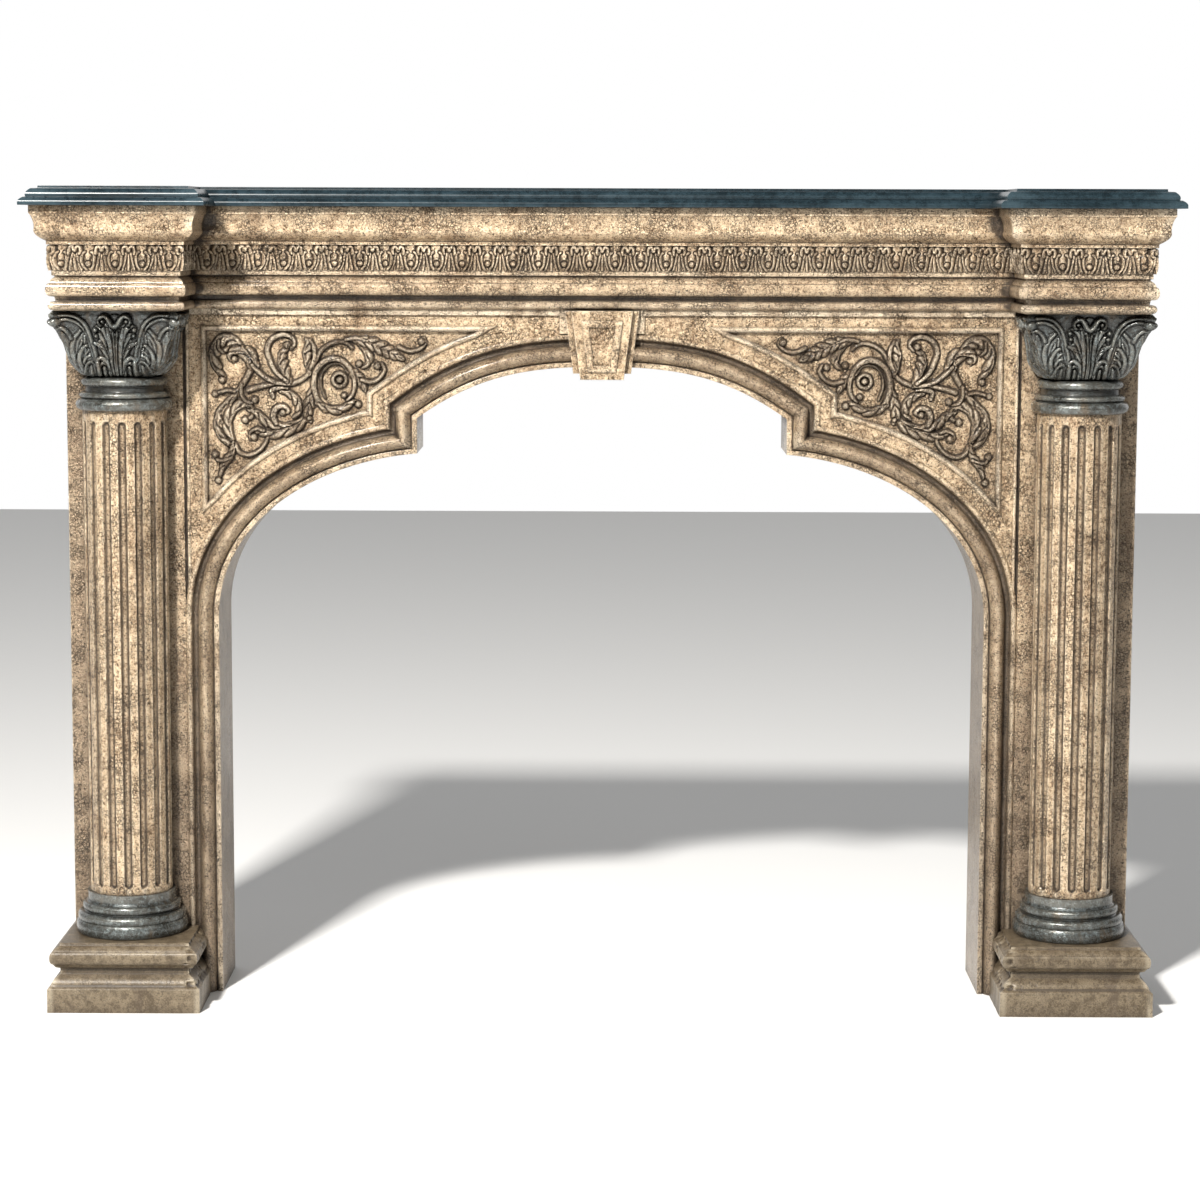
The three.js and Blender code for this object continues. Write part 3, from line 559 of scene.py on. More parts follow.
def nearLine(points, line):      # distance, share of the way along, and side of a line of points
    best = np.full(len(points), 1e9)
    share = np.zeros(len(points))
    side = np.ones(len(points))
    count = len(line) - 1
    for i in range(count):
        a, d = line[i], line[i + 1] - line[i]
        t = np.clip(((points - a) @ d) / (d @ d), 0, 1)
        off = points - a - t[:, None] * d
        far = np.hypot(off[:, 0], off[:, 1])
        closer = far < best
        best[closer] = far[closer]
        share[closer] = (i + t[closer]) / count
        side[closer] = np.sign(d[0] * off[closer, 1] - d[1] * off[closer, 0])
    return best, share, side


def flowing(points, steps=6):    # a smooth line through a few points
    points = np.array(points, float)
    ends = np.vstack([2 * points[0] - points[1], points, 2 * points[-1] - points[-2]])
    out = []
    for p0, p1, p2, p3 in zip(ends, ends[1:], ends[2:], ends[3:]):
        for t in np.arange(steps) / steps:
            out.append(0.5 * (2 * p1 + (p2 - p0) * t + (2 * p0 - 5 * p1 + 4 * p2 - p3) * t * t
                              + (3 * p1 - p0 - 3 * p2 + p3) * t ** 3))
    return np.array(out + [points[-1]])


def reachedBy(points, line, reach):
    return ((points > line.min(0) - reach) & (points < line.max(0) + reach)).all(1)


def carve(height, points, line, wide, proud, leaf=0.0, taper=0.35, moat=0.45):
    near = reachedBy(points, line, wide * 0.9 + 2)
    if not near.any():
        return
    far, share, _ = nearLine(points[near], line)
    swell = np.sin(np.pi * np.minimum(1, 0.12 + 0.86 * share))
    width = wide / 2 * ((1 - leaf) * (1 - taper * share) + leaf * np.maximum(0.3, swell))
    across = far / np.maximum(width, 0.3)
    dome = np.sqrt(np.clip(1 - across ** 2, 0, 1))
    gutter = 0.62 + 0.38 * np.clip(across / 0.7, 0, 1) ** 2 + 0.22 * np.exp(-(across / 0.16) ** 2)
    blade = np.clip(1 - across ** 6, 0, 1) ** 0.5 * gutter
    shape = (1 - leaf) * dome + leaf * blade
    lies = height[near]
    cut = np.where((across >= 1) & (across < 1.5), 1 - moat * (1.5 - across) / 0.5, 1)
    height[near] = np.where(across < 1, np.maximum(lies * 0.7, proud * shape), lies * cut)


def carveLeaf(height, points, line, wide, proud, lobes, side=0):
    # long ribs sweep forward from the spine of the leaf and end in rounded lobes along its edge
    near = reachedBy(points, line, wide * 0.75 + 2)
    if not near.any():
        return
    far, share, hand = nearLine(points[near], line)
    full = np.sin(np.pi * (0.06 + 0.9 * share)) ** 0.55 * (1.06 - 0.3 * share)
    half = wide / 2 * full * np.where(hand * side < 0, 0.34, 1.0 + 0.25 * abs(side))
    across = far / np.maximum(half, 0.5)
    ribs = share * lobes + 0.35 - 1.1 * across * (1 - 0.3 * across)
    rib = np.abs(np.sin(np.pi * ribs))
    edge = 0.70 + 0.34 * rib ** 0.8
    within = np.clip(1 - (across / edge) ** 3, 0, 1) ** 0.6
    spine = np.exp(-(across / 0.17) ** 2)
    finer = 0.5 + 0.5 * np.cos(2 * np.pi * (ribs * 2 + 0.5))
    swell = np.sin(np.pi * np.clip(across, 0, 1))
    shape = within * (0.42 + 0.40 * rib ** 0.7 + 0.10 * finer + 0.22 * swell)
    shape = np.maximum(shape, spine * 1.02 * (1 - 0.3 * share))
    lies = height[near]
    inside = across < edge
    cut = np.where(~inside & (across < edge + 0.25) & (far < half * 1.4), 0.6, 1)
    height[near] = np.where(inside, np.maximum(lies * 0.5, proud * np.minimum(shape, 1.08)), lies * cut)


def carveBall(height, points, place, radius, proud):
    far = np.hypot(points[:, 0] - place[0], points[:, 1] - place[1]) / radius
    dome = np.sqrt(np.clip(1 - far ** 2, 0, 1)) * proud
    ring = (far > 1) & (far < 1.4)
    height[:] = np.where(ring, height * (0.4 + 0.6 * (far - 1) / 0.4), height)
    height[:] = np.where(far < 1, np.maximum(dome, height * 0.3), height)


# Entablature: rolls, torus and cyma, with the leaf-and-dart band carved round it

entablature = {
    "inset": 51.0, "footFilletProud": 5.0, "edgeRound": 0.8, "uneven": 0.55, "spacing": 14, "bandPitch": 43.5,
    "bandHeight": 42.0, "bandInset": 45.0, "bandSwell": 2.6, "bandStep": 1.32, "bandRows": 32,
}

bandUnit = {     # half of one unit, in millimetres from the middle of the dart and from the band's foot
    "dart": [([(0, 0), (0, 12), (0, 25)], 5.4, 5.2), ([(3.6, 28), (5.8, 15), (10.0, 0.5)], 4.6, 5.0)],
    "leaf": [([(16.4, 30), (12.2, 27), (11.6, 18), (13.0, 9), (17.6, 1.5)], 5.6, 6.6)],
    "cap": [([(0.6, 32.5), (3.4, 38.4), (8.0, 37.6), (9.4, 31), (8.6, 27)], 6.6, 7.6)],
    "ball": (21.75, 11.0), "ballRadius": 5.2, "ballProud": 7.6, "tongue": 5.0, "ground": 2.2,
}


def bandRelief(along, up):       # along: millimetres from the nearest dart; up: from the band's foot
    points = np.stack([np.abs(along).ravel(), up.ravel()], 1)
    x, z = points.T
    spread = 3.0 + 6.0 * smoothStep(12, 38, z)
    tongue = bandUnit["tongue"] * np.exp(-((x - bandUnit["ball"][0]) / spread) ** 4)
    height = np.maximum(tongue * smoothStep(9, 20, z), bandUnit["ground"])
    for part in ("dart", "leaf", "cap"):
        for line, wide, proud in bandUnit[part]:
            carve(height, points, flowing(line, 4), wide, proud, taper=0.15, moat=0.5)
    carveBall(height, points, bandUnit["ball"], bandUnit["ballRadius"], bandUnit["ballProud"])
    return height.reshape(along.shape)


def makeEntablature(size):
    inset, bandInset, bandHeight = size["inset"], size["bandInset"], size["bandHeight"]
    lower = Profile(inset, corniceFoot).roll(15.5, 39, 45.5).to(0.6, 50).to(7.3, 48.5).to(0.6, 43)
    lower.roll(21, 36, 41, 18).bow(10.5, 49.5, -2).to(2, 49.5).to(0.6, 45.5).to(8, 45.5).to(0.6, inset)
    bandFoot = lower.points[-1][1]
    bandTop = bandFoot + bandHeight
    cymaHeight = entablatureTop - 13 - 0.6 - bandTop - 6
    upper = Profile(inset, bandTop - 0.6).to(0.6, 38.5).to(6, 38.5)
    upper.bow(cymaHeight * 0.38, 21.5, -4, 12).bow(cymaHeight * 0.62, 16, 2.5, 14)
    upper.to(0.6, 14.8).to(13, 14.8).to(0.0001, 18)
    sheets = []
    for edge, seed, caps in ((lower, 11, (True, False)), (upper, 12, (False, True))):
        sheets += steppedSheets(edge.eased(size["edgeRound"]), size["spacing"], size["uneven"], seed, caps)

    # the band, with a whole number of units on each side of the plan
    sides, shares = steppedStations(size["bandStep"], bandInset)
    lengths = np.linalg.norm(np.diff(steppedCorners(bandInset), axis=0), axis=1)
    unit = shares * np.maximum(1, np.round(lengths / size["bandPitch"]))[sides]
    rise = np.linspace(0, 1, size["bandRows"])
    relief = bandRelief(*np.meshgrid((unit - np.round(unit)) * size["bandPitch"], rise * bandHeight))
    ground = bandInset + 1.5 - size["bandSwell"] * np.sin(np.pi * np.clip(rise * 1.25, 0, 1))
    heights = bandFoot - 0.5 + rise * (bandHeight + 0.6)
    points = steppedPoints(ground[:, None] - relief, heights, sides, shares)
    sheets += [gridSheet(points), gridSheet(points[:, [-1, 0]])]

    # the plain course under the cornice
    outer, inner, proud = halfLong - inset, halfLong - endWidth + inset, panelFace - size["footFilletProud"]
    foot, seat = entablatureFoot, corniceFoot + 1
    half = [(-outer, 0), (-outer, panelFace), (-inner, panelFace), (-inner, proud)]
    plan = half + [(-x, y) for x, y in reversed(half)]
    back = [(-outer, 0, seat), (-outer, 0, foot), (outer, 0, foot), (outer, 0, seat)]
    sheets += [wallSheet(plan, (foot, seat)), levelSheet(plan, foot, flip=True), polygonSheet(back)]

    def tarnishAndShade(co):
        # darker below the band, and darker again near the foot
        return 0.25 * (co[:, 2] < bandTop) + 0.25 * (co[:, 2] < corniceFoot + 20)

    makePiece("giltEntablature", sheets, giltFinish, ["entablature"], 46, tarnishAndShade)


makeEntablature(entablature)


# Arch surround: stepped arch with its moulding, the framed spandrels and their scrolls

arch = {
    "openingHalf": 654.0, "stepHalf": 314.0, "springHeight": 655.0, "stepLow": 936.0, "stepHigh": 996.0,
    "crown": 1084.0, "lowSteps": 44, "highSteps": 30, "mouldWidth": 57.0, "mouldProud": 14.5,
    # the mould on each side of its roll: how far out from the opening, and how proud of the panel
    "mouldLip": [(0, -12), (0, 2.6), (5, 3.6), (8.2, 3.2), (9.2, 0.6), (10.6, 0.6)],
    "mouldOuter": [(36.2, -4.2), (38.5, -6.2), (42.5, -6.0), (45.4, -3.4), (46.8, 0.6), (48.4, 2.4),
                   (51.5, 3.0), (54.8, 2.2), (56.6, 0.4)],
    "frameFromArch": 80.0, "frameTop": 1147.3, "frameSide": -675.0, "frameTip": 196.9, "frameFoot": 843.0,
    "beadWidth": 10.0, "beadProud": 5.2, "fieldSunk": 4.0, "fieldStep": 1.5, "scrollProud": 9.0,
    # the groove beside the pilaster and the small round next to it
    "quirk": (-711.0, -706.0, -700.5), "quirkDepth": 4.0, "roundProud": 2.4,
    "edgeRound": 2.2, "keyBorder": (-72.0, -49.0), "keyBorderProud": 4.0,
    # where the grime sets in: how proud the leaves and the roll are, and how far out; and up to what height
    # the painted shade darkens towards the floor
    "leafGrime": (-1.5, 3.0), "rollGrime": (5, 9), "sideGrime": (862, 884), "footShade": (260, 900),
}

# The scrolls are drawn in units of about a quarter millimetre, right and down from the frame's top outer
# corner. Each has its line and width; then a stroke may say how leafy it is, and a leaf says how many lobes
# it has and on which side.
scrollUnit = (0.2429, 0.2412)
scrollOrigin = (-14.2, -17.0)
scrolls = [
    ([(270, 890), (305, 945), (370, 962), (440, 930), (488, 870), (500, 815)], 34),
    ([(400, 335), (355, 420), (312, 490), (262, 540)], 44),
    ([(370, 505), (440, 483), (520, 465), (620, 452)], 40),
    ([(290, 515), (230, 575), (170, 640), (140, 720), (150, 800), (190, 865), (245, 905)], 112, 5, 1),
    ([(262, 850), (238, 780), (242, 700), (285, 640), (345, 612), (392, 640)], 108, 4, 1),
    ([(392, 640), (392, 690), (345, 712)], 34),
    ([(380, 640), (440, 662), (485, 705), (545, 742), (625, 745), (700, 722), (762, 680)], 84, 5, -1),
    ([(560, 740), (540, 690), (560, 632), (612, 620), (645, 650), (610, 668)], 44, 0.4),
    ([(600, 508), (662, 520), (712, 560), (732, 620), (722, 672), (682, 700)], 80, 4, -1),
    ([(770, 700), (700, 752), (620, 782), (530, 800), (450, 790), (392, 800)], 94, 5, 1),
    ([(470, 790), (425, 778), (385, 800), (380, 842), (412, 852)], 30),
    ([(262, 880), (262, 940), (230, 1000), (192, 1050), (168, 1112)], 75, 4, -1),
    ([(245, 980), (192, 1002), (150, 1000), (130, 965)], 26),
    ([(320, 465), (318, 530), (345, 580), (392, 592), (415, 572)], 30),
    ([(272, 515), (222, 508), (172, 520), (135, 532)], 28),
    ([(395, 330), (350, 235), (280, 150), (195, 128), (128, 185), (112, 280), (150, 370), (192, 412)],
     123, 6, 1),
    ([(165, 160), (165, 215), (200, 238), (228, 212)], 26),
    ([(425, 335), (382, 262), (312, 236), (252, 258), (268, 300)], 89, 3, -1),
    ([(395, 330), (450, 385), (530, 440), (640, 462), (742, 430), (802, 370), (842, 290), (885, 218),
      (962, 172), (1042, 165), (1095, 205)], 36, 0.15),
    ([(650, 440), (610, 370), (588, 300), (600, 235), (640, 205)], 99, 4, -1),
    ([(640, 445), (560, 375), (520, 292), (502, 220), (532, 150), (602, 115), (668, 130), (695, 175),
      (668, 212)], 40, 0.35),
    ([(792, 385), (772, 310), (765, 235), (782, 178), (768, 150)], 89, 4, -1),
    ([(800, 350), (832, 280), (826, 200), (800, 150)], 34, 0.5),
    ([(540, 552), (532, 505), (582, 488), (642, 492)], 36, 0.5),
    ([(826, 470), (812, 540), (792, 610), (782, 680), (802, 722)], 89, 4, 0),
    ([(1060, 360), (1120, 400), (1160, 450), (1186, 505)], 84, 4, 0),
    ([(900, 645), (845, 560), (825, 450), (850, 352), (920, 292), (1000, 288), (1075, 345), (1110, 440),
      (1100, 520), (1062, 572)], 46, 0.35),
    ([(905, 560), (876, 470), (886, 380), (945, 322), (1020, 325), (1068, 390)], 13),
    ([(850, 590), (900, 612), (962, 628), (1025, 618), (1080, 582), (1122, 575)], 84, 4, -1),
    ([(1160, 430), (1222, 446), (1282, 420), (1320, 362), (1300, 318)], 34),
    ([(1100, 152), (1152, 190), (1192, 250), (1198, 305), (1162, 340)], 84, 3, 1),
    ([(1120, 150), (1220, 172), (1310, 212), (1382, 250), (1448, 282)], 112, 6, 0),
    ([(1050, 150), (1130, 138), (1205, 160)], 30, 0.4),
    ([(1420, 200), (1490, 226), (1562, 215), (1604, 170), (1590, 135)], 30),
]
scrollBalls = [  # right, down, radius
    (186, 432, 24), (272, 284, 22), (642, 188, 24), (1142, 318, 23), (1272, 332, 24), (1580, 160, 25),
    (134, 532, 21), (412, 572, 24), (343, 714, 25), (606, 662, 24), (402, 832, 27), (130, 960, 23),
    (152, 1142, 23), (1036, 540, 20), (1134, 602, 24), (212, 222, 18), (792, 700, 18),
]
scrollEye = {"place": (1005, 430), "ring": 46, "wide": 27, "ball": 25}


def archLine(arch):              # from the floor at the left to the crown
    spring, low = (-arch["openingHalf"], arch["springHeight"]), (-arch["stepHalf"], arch["stepLow"])
    high, crown = (-arch["stepHalf"], arch["stepHigh"]), (0, arch["crown"])
    run, rise, climb = low[0] - spring[0], low[1] - spring[1], crown[1] - high[1]
    lowArc = cubicCurve(spring, (spring[0], spring[1] + 0.57 * rise),
                        (low[0] - 0.53 * run, low[1] - 0.055 * rise), low, arch["lowSteps"])
    highArc = cubicCurve(high, (high[0] + 0.335 * arch["stepHalf"], high[1] + 0.86 * climb),
                         (-0.38 * arch["stepHalf"], crown[1]), crown, arch["highSteps"])
    return np.vstack([spaced(np.array([[spring[0], 0.0], spring]), 24), lowArc[1:], highArc])


def mirroredOn(line):            # the left half of a line, followed by its mirror image
    return np.vstack([line, (line * [-1, 1])[::-1][1:]])


def archOffset(arch, sideways, clear):
    # The left half of the arch line moved out. Near the inner corner of the step the stations close up
    # towards the mitre instead of crossing it.
    line = archLine(arch)
    corner = np.array([-arch["stepHalf"], arch["stepLow"]])
    last = int(np.argmin(np.linalg.norm(line - corner, axis=1)))
    first = int(np.argmax(np.linalg.norm(line[:last] - corner, axis=1) < clear)) - 1
    coarse = np.vstack([line[:first + 1], line[last:]])
    moved = offsetLine(mirroredOn(coarse), sideways)[:len(coarse)]
    chord = corner - line[first]
    between = line[first + 1:last]
    share = ((between - line[first]) @ chord / (chord @ chord))[:, None]
    bulge = between - (line[first] + share * chord)
    inserted = moved[first] + share * (moved[first + 1] - moved[first]) + bulge
    return np.vstack([moved[:first + 1], inserted, moved[first + 1:]])


def spandrelFrame(arch):
    line = archOffset(arch, arch["frameFromArch"], arch["frameFromArch"] + 4)
    bead = arch["beadWidth"]
    inside = [(x, z) for x, z in line
              if arch["frameSide"] + bead < x < -arch["frameTip"] - 2 * bead
              and arch["frameFoot"] + bead < z < arch["frameTop"] - bead]
    corners = [(-arch["frameTip"], arch["frameTop"]), (arch["frameSide"], arch["frameTop"])]
    return np.array([(arch["frameSide"], arch["frameFoot"]), *inside, *corners], float)


def insideOf(points, outline):
    inside = np.zeros(len(points), bool)
    for (ax, az), (bx, bz) in zip(outline, np.roll(outline, -1, 0)):
        crosses = (az > points[:, 1]) != (bz > points[:, 1])
        if az == bz:
            continue
        inside ^= crosses & (points[:, 0] < (bx - ax) * (points[:, 1] - az) / (bz - az) + ax)
    return inside


def spandrelField(arch, frameLine):
    step = arch["fieldStep"]
    low, high = frameLine.min(0) - step, frameLine.max(0) + step
    gridX, gridZ = np.meshgrid(np.arange(low[0], high[0], step), np.arange(low[1], high[1], step))
    points = np.stack([gridX.ravel(), gridZ.ravel()], 1)
    height, proud = np.zeros(len(points)), arch["scrollProud"]
    corner, unit = np.array([arch["frameSide"], arch["frameTop"]]), np.array(scrollUnit)

    def placed(line):
        return corner + (np.atleast_2d(line) * unit + scrollOrigin) * [1, -1]

    for line, wide, *more in scrolls:
        carving = carveLeaf if len(more) == 2 else carve
        carving(height, points, flowing(placed(line)), wide * unit[0], proud, *more)
    turns = np.linspace(0, 2 * np.pi, 25)
    eye = np.array(scrollEye["place"]) + scrollEye["ring"] * np.stack([np.cos(turns), np.sin(turns)], 1)
    carve(height, points, placed(eye), scrollEye["wide"] * unit[0], proud, taper=0)
    for right, down, radius in scrollBalls + [(*scrollEye["place"], scrollEye["ball"])]:
        carveBall(height, points, placed((right, down))[0], radius * unit[0], proud * 1.05)
    height += 0.3 * swells(np.column_stack([points, np.zeros(len(points))]), 9, 31)
    inside = insideOf(points, frameLine).reshape(gridX.shape)
    index = np.arange(len(points)).reshape(gridX.shape)
    cell = inside[:-1, :-1] & inside[:-1, 1:] & inside[1:, 1:] & inside[1:, :-1]
    quads = np.stack([index[:-1, :-1], index[:-1, 1:], index[1:, 1:], index[1:, :-1]], -1)[cell]
    return standing(points, panelFace + arch["fieldSunk"] - height), [quads]


def makeSurround(arch):
    wide, bead, sunk = arch["mouldWidth"], arch["beadWidth"] / 2, -arch["fieldSunk"] - 2

    def archAt(sideways):
        return mirroredOn(archOffset(arch, sideways, wide + 4))

    rise = np.linspace(0.03, 0.97, 22)
    roll = np.stack([10.6 + 25 * rise, arch["mouldProud"] * np.sin(np.pi * rise ** 1.12) ** 0.62], 1)
    section = easedLine(np.vstack([arch["mouldLip"], roll, arch["mouldOuter"], [[wide, 0]]]), 1.0)
    reveal = [(0, -deep) for deep in np.linspace(-panelFace, 30, 8)]
    rows = [standing(archAt(sideways), panelFace - proud) for sideways, proud in np.vstack([reveal, section])]
    sheets = [gridSheet(np.array(rows))]

    frameLine = spandrelFrame(arch)
    rounded = [(-bead * math.cos(t), arch["beadProud"] * math.sin(t)) for t in np.linspace(0, np.pi, 9)]
    beadLine = spaced(frameLine, 20, closed=True)
    beadSheet = sweptMould(beadLine, [(-bead, sunk), *rounded, (bead, sunk)])
    sheets += bothSides([beadSheet, spandrelField(arch, frameLine)])

    side, top, foot, r = panelHalf, surroundTop, arch["springHeight"], arch["edgeRound"]
    quirkFrom, quirkTo, roundTo = arch["quirk"]
    notch = [(roundTo, top), (roundTo, foot), (quirkFrom, foot), (quirkFrom, top)]
    otherNotch = [(-x, z) for x, z in reversed(notch)]
    outline = np.array([(-side + r, 0), *archAt(wide), (side - r, 0), (side - r, top), *otherNotch, *notch,
                        (-side + r, top)], float)
    sheets.append(flatSheet([outline, frameLine, frameLine * [-1, 1]], panelFace))

    half, depth = (roundTo - quirkTo) / 2, panelFace + arch["quirkDepth"]
    quirk = [(quirkFrom, panelFace), (quirkFrom + 0.4, depth), (quirkTo - 0.4, depth)]
    quirk += [(quirkTo + half - half * math.cos(t), panelFace - arch["roundProud"] * math.sin(t))
              for t in np.linspace(0, np.pi, 8)]
    quirkFoot = [(quirkFrom, panelFace), (roundTo, panelFace), (roundTo, panelFace + 6),
                 (quirkFrom, panelFace + 6)]
    edge = [(-side, 0), (-side, panelFace + r), (-side + 0.3 * r, panelFace + 0.3 * r),
            (-side + r, panelFace)]
    rows = spaced(np.array([[0.0, 0.0], [0.0, top]]), 40)[:, 1]
    sheets += bothSides([wallSheet(quirk, np.linspace(foot, top, 30)), levelSheet(quirkFoot, foot),
                         wallSheet(edge, rows)])

    inner, far = arch["keyBorder"]
    low, face = arch["crown"] + wide - 1, panelFace - arch["keyBorderProud"]
    border = wallSheet([(inner, panelFace), (inner, face + 1), (inner + 1, face), (far, face)], (low, top))
    under = [(inner, panelFace), (far, panelFace), (far, face), (inner, face)]
    sheets += bothSides([border, levelSheet(under, low, flip=True)])

    backLine = np.array([(-side, 0), *archAt(0), (side, 0), (side, top), (-side, top)], float)
    lid = [(-side, 0), (-side, panelFace + r), (-side + r, panelFace)]
    lid += [(-x, y) for x, y in reversed(lid)]
    jamb = [(-side, 0), (-arch["openingHalf"], 0), (-arch["openingHalf"], panelFace), (-side, panelFace)]
    sheets += [flatSheet([backLine], 0.0, front=False), levelSheet(lid, top)]
    sheets += bothSides([levelSheet(jamb, 0)])

    def tarnishAndShade(co):             # leaves go pewter grey, the arch's roll half way there
        proud = panelFace - co[:, 1]
        carved = insideOf(np.abs(co[:, [0, 2]]) * [-1, 1], frameLine)
        # the roll goes half way to pewter; painted shade darkens everything sunk over 2 mm behind the panel
        # face: the reveal, the quirk and the arch's hollow
        grimeAndShade = np.maximum(0.55 * smoothStep(*arch["rollGrime"], proud), 0.9 * (proud < -2))
        grimeAndShade = np.maximum(grimeAndShade, 0.8 * smoothStep(*arch["sideGrime"], np.abs(co[:, 0])))
        # painted shade: darker towards the floor, fully below 260 mm and fading out by 900 mm
        grimeAndShade = np.maximum(grimeAndShade, 0.85 * (1 - smoothStep(*arch["footShade"], co[:, 2])))
        return np.where(carved, smoothStep(*arch["leafGrime"], proud), grimeAndShade)

    makePiece("archSurround", sheets, giltFinish, ["arch_surround"], 40, tarnishAndShade)


makeSurround(arch)


# Keystone: a stepped wedge with a raised frame

key = {"topWidth": 124.0, "footWidth": 98.0, "foot": 1073.0, "hang": 10.0, "backProud": 14.0,
       "frontProud": 26.0, "frameProud": 31.0, "frontInset": 11.0, "frameInset": 26.0, "frameWidth": 11.0,
       "frameFoot": 3.0, "frameHead": 8.0, "top": 1179.0, "round": 1.6}


def keyLine(margin, foot, top):
    slope = (key["topWidth"] - key["footWidth"]) / 2 / (surroundTop - key["foot"])

    def wide(z):
        return key["footWidth"] / 2 + slope * (z - key["foot"]) + margin

    return np.array([(-wide(foot), foot), (wide(foot), foot), (wide(top), top), (-wide(top), top)])


def keyBlock(line, front):       # a plate on the panel with rounded front edges
    r = key["round"]
    line = spaced(line, 9, closed=True)
    rings = [standing(offsetLine(line, inward, closed=True), deep)
             for deep, inward in ((panelFace, 0), (front + r, 0), (front + 0.3 * r, 0.3 * r), (front, r))]
    return [gridSheet(np.array(rings), wrap=True), polygonSheet(rings[-1])]


def makeKeystone(key):
    sheets = keyBlock(keyLine(0, key["foot"], key["top"]), panelFace - key["backProud"])
    sheets += keyBlock(keyLine(-key["frontInset"], key["foot"] - key["hang"], key["top"]),
                       panelFace - key["frontProud"])
    width, proud, ground = key["frameWidth"], key["frameProud"], key["frontProud"] - 0.5
    line = keyLine(-key["frameInset"], key["foot"] + key["frameFoot"], surroundTop - key["frameHead"])
    section = [(0, ground), (0.4, proud - 1.2)]
    section += [(1.5 + (width - 3) * (1 - math.cos(t)) / 2, proud - 1.0 + 1.0 * math.sin(t))
                for t in np.linspace(0, np.pi, 7)]
    section += [(width - 0.4, proud - 1.2), (width, ground)]
    sheets.append(sweptMould(spaced(line, 9, closed=True), section))
    makePiece("giltKeystone", sheets, giltFinish, ["keystone"], sharp=40)


makeKeystone(key)


# Columns, drawn at the left and mirrored for the right

column = {
    "capitalTop": 1179.2, "capitalHeight": 168.0, "ringsHeight": 56.0, "neck": 65.0, "segments": 96,
    "bellFoot": 60.0, "bellWaist": 84.0, "bellHead": 99.0, "hornReach": 11.0, "leafProud": 8.0,
    "bellRows": 88, "bellColumns": 64, "baseFoot": 116.3, "baseHeight": 72.0, "baseRadius": 95.0,
    "shaftFootRadius": 69.5, "shaftNeckRadius": 71.0, "shaftUneven": 0.35, "joint": 0.3,
    "flutes": 16, "fluteWidth": 14.6, "fluteDepth": 4.6, "fluteTurn": 4.5, "collar": 17.0, "fluteFoot": 10.0,
    # where the shaft has points, in half flutes from the middle of each flute
    "fluteStations": [-1.0, -0.93, -0.78, -0.55, -0.28, 0, 0.28, 0.55, 0.78, 0.93, 1.0, 1.12, 1.5, 2.0, 2.6],
}


def makePair(name, node, sheets, material, sharp=42):
    makePiece("left" + name, sheets, material, ["left_" + node], sharp)
    sheets = [mirroredSheet(sheet) for sheet in sheets]
    makePiece("right" + name, sheets, material, ["right_" + node], sharp)


def turned(radius, angles, heights, middle=(0, 0)):      # points round an upright axis
    x, y = middle[0] + radius * np.sin(angles), middle[1] - radius * np.cos(angles)
    return np.stack(np.broadcast_arrays(x, y, heights), -1)


def lathed(line, uneven, seed):
    angles = np.arange(column["segments"]) / column["segments"] * 2 * np.pi
    radius, heights = np.repeat(line[:, :1], len(angles), 1), line[:, 1:]
    worn = np.abs(swells(turned(radius, angles, heights).reshape(-1, 3), 70, seed).reshape(radius.shape))
    points = turned(radius - worn * uneven, angles, heights, columnMiddle)
    return frontOnly(gridSheet(points, wrap=True))


def makeShaft(column):
    foot = column["baseFoot"] + column["baseHeight"] + column["joint"]
    top = column["capitalTop"] - column["capitalHeight"] - column["joint"]
    footRadius, half, flutes = column["shaftFootRadius"], column["fluteWidth"] / 2, column["flutes"]
    pitch = 2 * np.pi / flutes
    across = half * np.array(column["fluteStations"])
    middles = np.arange(flutes) * pitch + math.radians(column["fluteTurn"])
    angles = (middles[:, None] + across / footRadius).ravel()
    offsets = np.tile(np.minimum(np.abs(across), pitch * footRadius - across), flutes)
    low, high = foot + column["fluteFoot"] + half, top - column["collar"] - half
    ends, between = np.linspace(0, half, 9), np.linspace(low, high, 46)[1:-1]
    heights = np.concatenate([[foot], low - ends[::-1], between, high + ends, [top]])
    heights = np.unique(np.round(heights, 4))[:, None]
    reach = np.hypot(offsets, np.maximum(0, np.maximum(low - heights, heights - high))) / half
    cut = column["fluteDepth"] * np.sqrt(np.clip(1 - reach ** 2.6, 0, 1))
    radius = footRadius + (column["shaftNeckRadius"] - footRadius) * ((heights - foot) / (top - foot))
    swell = swells(turned(radius, angles, heights).reshape(-1, 3), 90, 41).reshape(cut.shape)
    radius = radius - cut - column["shaftUneven"] * np.abs(swell)
    sheet = gridSheet(turned(radius, angles, heights, columnMiddle), wrap=True)
    makePair("Shaft", "shaft", [frontOnly(sheet)], giltFinish, sharp=50)


makeShaft(column)


def makeBase(column):
    r, h, foot = column["baseRadius"], column["baseHeight"], column["baseFoot"]
    edge = Profile(r - 3, foot).roll(0.32 * h, r, r - 5, 18).roll(0.2 * h, r - 3, r - 13, 14)
    edge.to(0.03 * h, r - 15).roll(0.19 * h, r - 11, r - 17, 14).to(0.06 * h, r - 20).to(0.2 * h, r - 20)
    line = edge.eased(0.8)
    line[:, 1] = np.minimum(line[:, 1], foot + h)
    line = np.vstack([[[40, foot]], line, [[66, line[-1, 1] - 0.001]]])
    makePair("ColumnBase", "column_base", [lathed(line, 0.5, 51)], verdigrisFinish)


makeBase(column)


